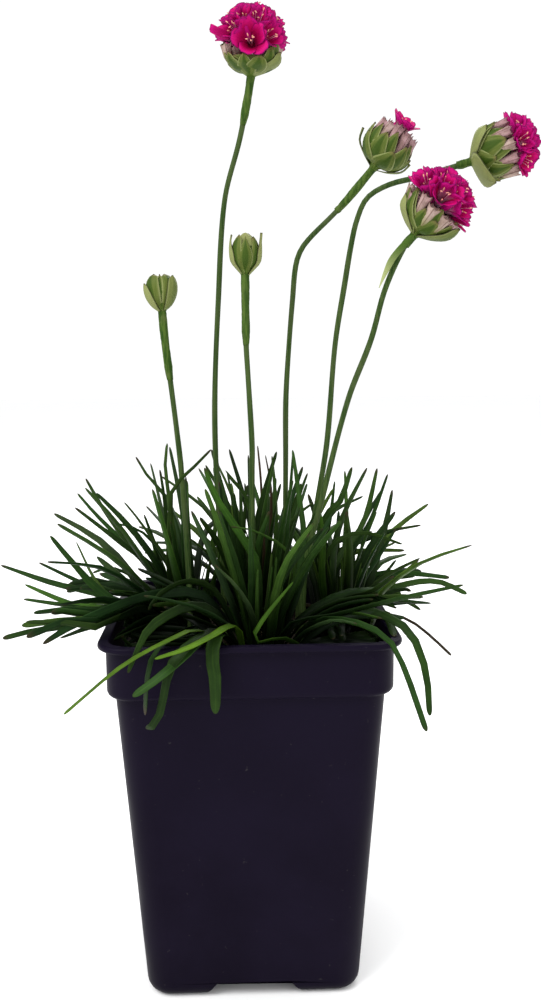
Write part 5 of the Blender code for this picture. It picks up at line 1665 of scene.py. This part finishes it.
petal_skin, tree, shader, place = finish_of("petal_skin", 0.6, 0.06)
length_share, own, from_rib, vein = veined(tree, (6.0, 1.5, 80.0), 1.8)
outside = marked(tree, "rib")
inner = painted(
    tree, (0.360, 0.000, 0.050),
    ((0.530, 0.002, 0.145), length_share, 0.50, 0.98),
    # Darker deep in the throat: painted shade inside the funnel.
    ((0.240, 0.020, 0.090), length_share, 0.02, 0.30, 0.9, 0.0),
)
outer = painted(tree, (0.520, 0.270, 0.360), ((0.470, 0.004, 0.165), length_share, 0.32, 0.70))
tone = blended(tree, outside, inner, outer)
tone = painted(
    tree, tone,
    ((0.470, 0.006, 0.200), own, 0.3, 1.0, 0.0, 0.40),
    ((0.55, 0.45, 0.55), vein, 0.40, 0.65, 0.40, 0.0, "MULTIPLY"),
)
# The dark line round the petal edges and tips is a painted dark outline: painted shade, not a
# colour of the petal.
sides = rising(tree, from_rib, 0.95, 1.0, 0.0, 0.5)
rim = calc(tree, "MAXIMUM", sides, rising(tree, length_share, 0.95, 1.0))
tone = blended(tree, calc(tree, "MULTIPLY", rim, 0.7), tone, (0.060, 0.002, 0.060))
finished(tree, shader, tone, vein, 0.30, 0.0002)

anther_skin, tree, shader, place = finish_of("anther_pollen", 0.6, 0.2)
pollen = speckle(tree, place, 2600.0, 3.0)
tone = painted(tree, (0.620, 0.210, 0.150), ((0.800, 0.420, 0.320), pollen, 0.35, 0.65))
finished(tree, shader, tone, pollen, 0.4, 0.0001)

filament_skin, tree, shader, place = finish_of("filament_skin", 0.5, 0.3)
cloud = speckle(tree, place, 900.0, 2.0)
tone = painted(tree, (0.420, 0.110, 0.220), ((0.560, 0.270, 0.360), cloud, 0.3, 0.7))
finished(tree, shader, tone)

for head in heads:
    draw = random.Random("florets " + head["name"])
    petals = with_values(bmesh.new(), "rib")
    threads = bmesh.new()
    anthers = bmesh.new()
    lift = Matrix.Translation(Vector((0, 0, head["floret_base"] * mm)))
    start = floret_sink * head["ball"]
    for azimuth, tilt, reach, rim in head["florets"]:
        spin = leaning(azimuth, tilt)
        roll = Matrix.Rotation(math.radians(azimuth * 7), 4, "Z")
        own = draw.random()
        throat = with_values(bmesh.new(), "rib")
        bmesh.ops.create_icosphere(throat, subdivisions=1, radius=throat_radius)
        for vert in throat.verts:
            mark(throat, vert, along=0.35)
        gathered(petals, moved(throat, lift @ spin @ Matrix.Translation((0, 0, start * mm))))
        for k in range(5):
            mixed = 0.8 * own + 0.2 * draw.random()
            part = petal(72 * k, start, reach, rim, 1.12 * rim, mixed, draw)
            gathered(petals, moved(part, lift @ spin @ roll))
            spread = draw.uniform(0.9, 2.2)
            top = reach - draw.uniform(-0.4, 2.6)
            thread, anther = stamen(72 * k + 30, start, top, spread, draw)
            for part, whole in ((thread, threads), (anther, anthers)):
                gathered(whole, moved(part, lift @ spin @ roll))
    for azimuth, tilt, reach, rim, width, angle in head["strays"]:
        spin = leaning(azimuth, tilt)
        part = petal(angle, 0.45 * reach, reach, rim, width, 0.9, draw, 0.4, 0.2)
        for vert in part.verts:
            mark(part, vert, rib=0.0)
        gathered(petals, moved(part, lift @ spin))
    for azimuth, tilt, reach in head["shut"]:
        spin = leaning(azimuth, tilt)
        line = [
            Vector((0, 0, 2.0 * mm)), Vector((0.2 * mm, 0, 0.5 * reach * mm)),
            Vector((0, 0, reach * mm)),
        ]
        part = with_values(swept(line, shut_radius, 10, 0.9 * mm), "rib")
        for vert in part.verts:
            share = min(0.97, 0.2 + 0.8 * vert.co.z / (reach * mm))
            mark(part, vert, along=share, rib=1.0, own=0.4)
        gathered(petals, moved(part, lift @ spin))
    for whole in (petals, threads, anthers):
        posed(whole, head["foot"], head["aim"])
    piece("petals_" + head["name"], petals, petal_skin, "petal_magenta", "florets_" + head["name"])
    piece("filaments_" + head["name"], threads, filament_skin, "petal_magenta")
    piece("anthers_" + head["name"], anthers, anther_skin, "petal_magenta")

# Buds: two closed heads, egg-shaped on a widening stem. Broad bracts with a dark keel and pale
# margins lap over each other up to a papery tip, and two or three outer ones stand off.
buds = [
    {
        "name": "bud_a", "foot": (-29.3, -9.0, 242.9), "aim": (-0.05, -0.05, 1.0),
        "shell": [(1.3, -1.0), (2.1, 0.5), (4.1, 3.4), (4.6, 7.0), (3.6, 9.8), (1.6, 11.0)],
        "rows": [
            (-44, 7.4, 0.97, 0.90, 0.1), (52, 7.0, 0.98, 0.45, 0.1), (120, 7.0, 0.97, 0.3, 0.3),
            (-155, 7.0, 0.97, 0.2, 0.3), (-96, 6.4, 0.9, 0.2, 0.2),
        ],
        "loose": [
            (-72, 8.4, 0.0, 0.95, [(1.4, -1.2), (3.5, 0.5), (5.3, 3.4), (5.9, 6.6), (5.6, 8.6)]),
            (64, 7.6, 0.0, 0.88, [(1.4, -1.0), (3.6, 0.7), (5.5, 4.0), (6.0, 7.4), (5.2, 10.9)]),
            (3, 3.8, 1.0, 0.25, [(1.4, -1.0), (3.3, 1.4), (4.9, 5.0), (4.4, 9.0), (2.2, 11.4)]),
        ],
    },
    {
        "name": "bud_b", "foot": (-0.1, -10.0, 255.0), "aim": (0.02, -0.04, 1.0),
        "shell": [
            (1.3, -1.0), (2.2, 0.8), (4.3, 3.5), (4.7, 7.0), (3.9, 9.8), (2.4, 11.9), (0.9, 13.2),
        ],
        "rows": [
            (-48, 5.8, 0.88, 0.3, 0.2), (70, 5.6, 0.86, 0.3, 0.2), (128, 5.4, 0.97, 0.2, 0.3),
            (-150, 5.6, 0.97, 0.2, 0.3), (-100, 5.4, 0.92, 0.2, 0.2), (46, 4.6, 0.82, 0.5, 1.0),
            (0, 5.2, 0.82, 0.72, 1.0),
        ],
        "loose": [
            (
                -82, 7.2, 0.8, 0.96,
                [(1.4, -1.0), (2.8, 0.5), (5.1, 3.3), (5.6, 7.0), (5.4, 9.8), (4.9, 12.4)],
            ),
            (
                84, 7.0, 0.9, 0.94,
                [(1.4, -1.0), (2.8, 0.5), (5.2, 3.3), (5.6, 7.0), (5.4, 10.0), (5.4, 13.2)],
            ),
        ],
    },
]
for bud in buds:
    draw = random.Random(bud["name"])
    shell = bud["shell"]
    whole = fleshy_base([(0.96 * r, 0.98 * z) for r, z in shell], 1.0, ((0.3, shell[-1][1]),))
    for vert in whole.verts:
        mark(whole, vert, own=0.93 if vert.co.z > 0.6 * shell[-1][1] * mm else 0.3)
    for azimuth, width, reach, off, point in bud["rows"]:
        own = 0.2 + 0.68 * draw.random()
        gathered(whole, bract(shell, azimuth, width, own, min(1.0, reach), off, point))
    for azimuth, width, point, own, profile in bud["loose"]:
        gathered(whole, bract(profile, azimuth, width, own, 1.0, 0.0, point))
    posed(whole, bud["foot"], bud["aim"])
    piece(bud["name"] + "_bracts", whole, bract_skin, "bract_green", bud["name"])

boxes = {"cad": cad_box, "visual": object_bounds()}
size_lines = {name: [list(corner) for corner in box] for name, box in boxes.items()}
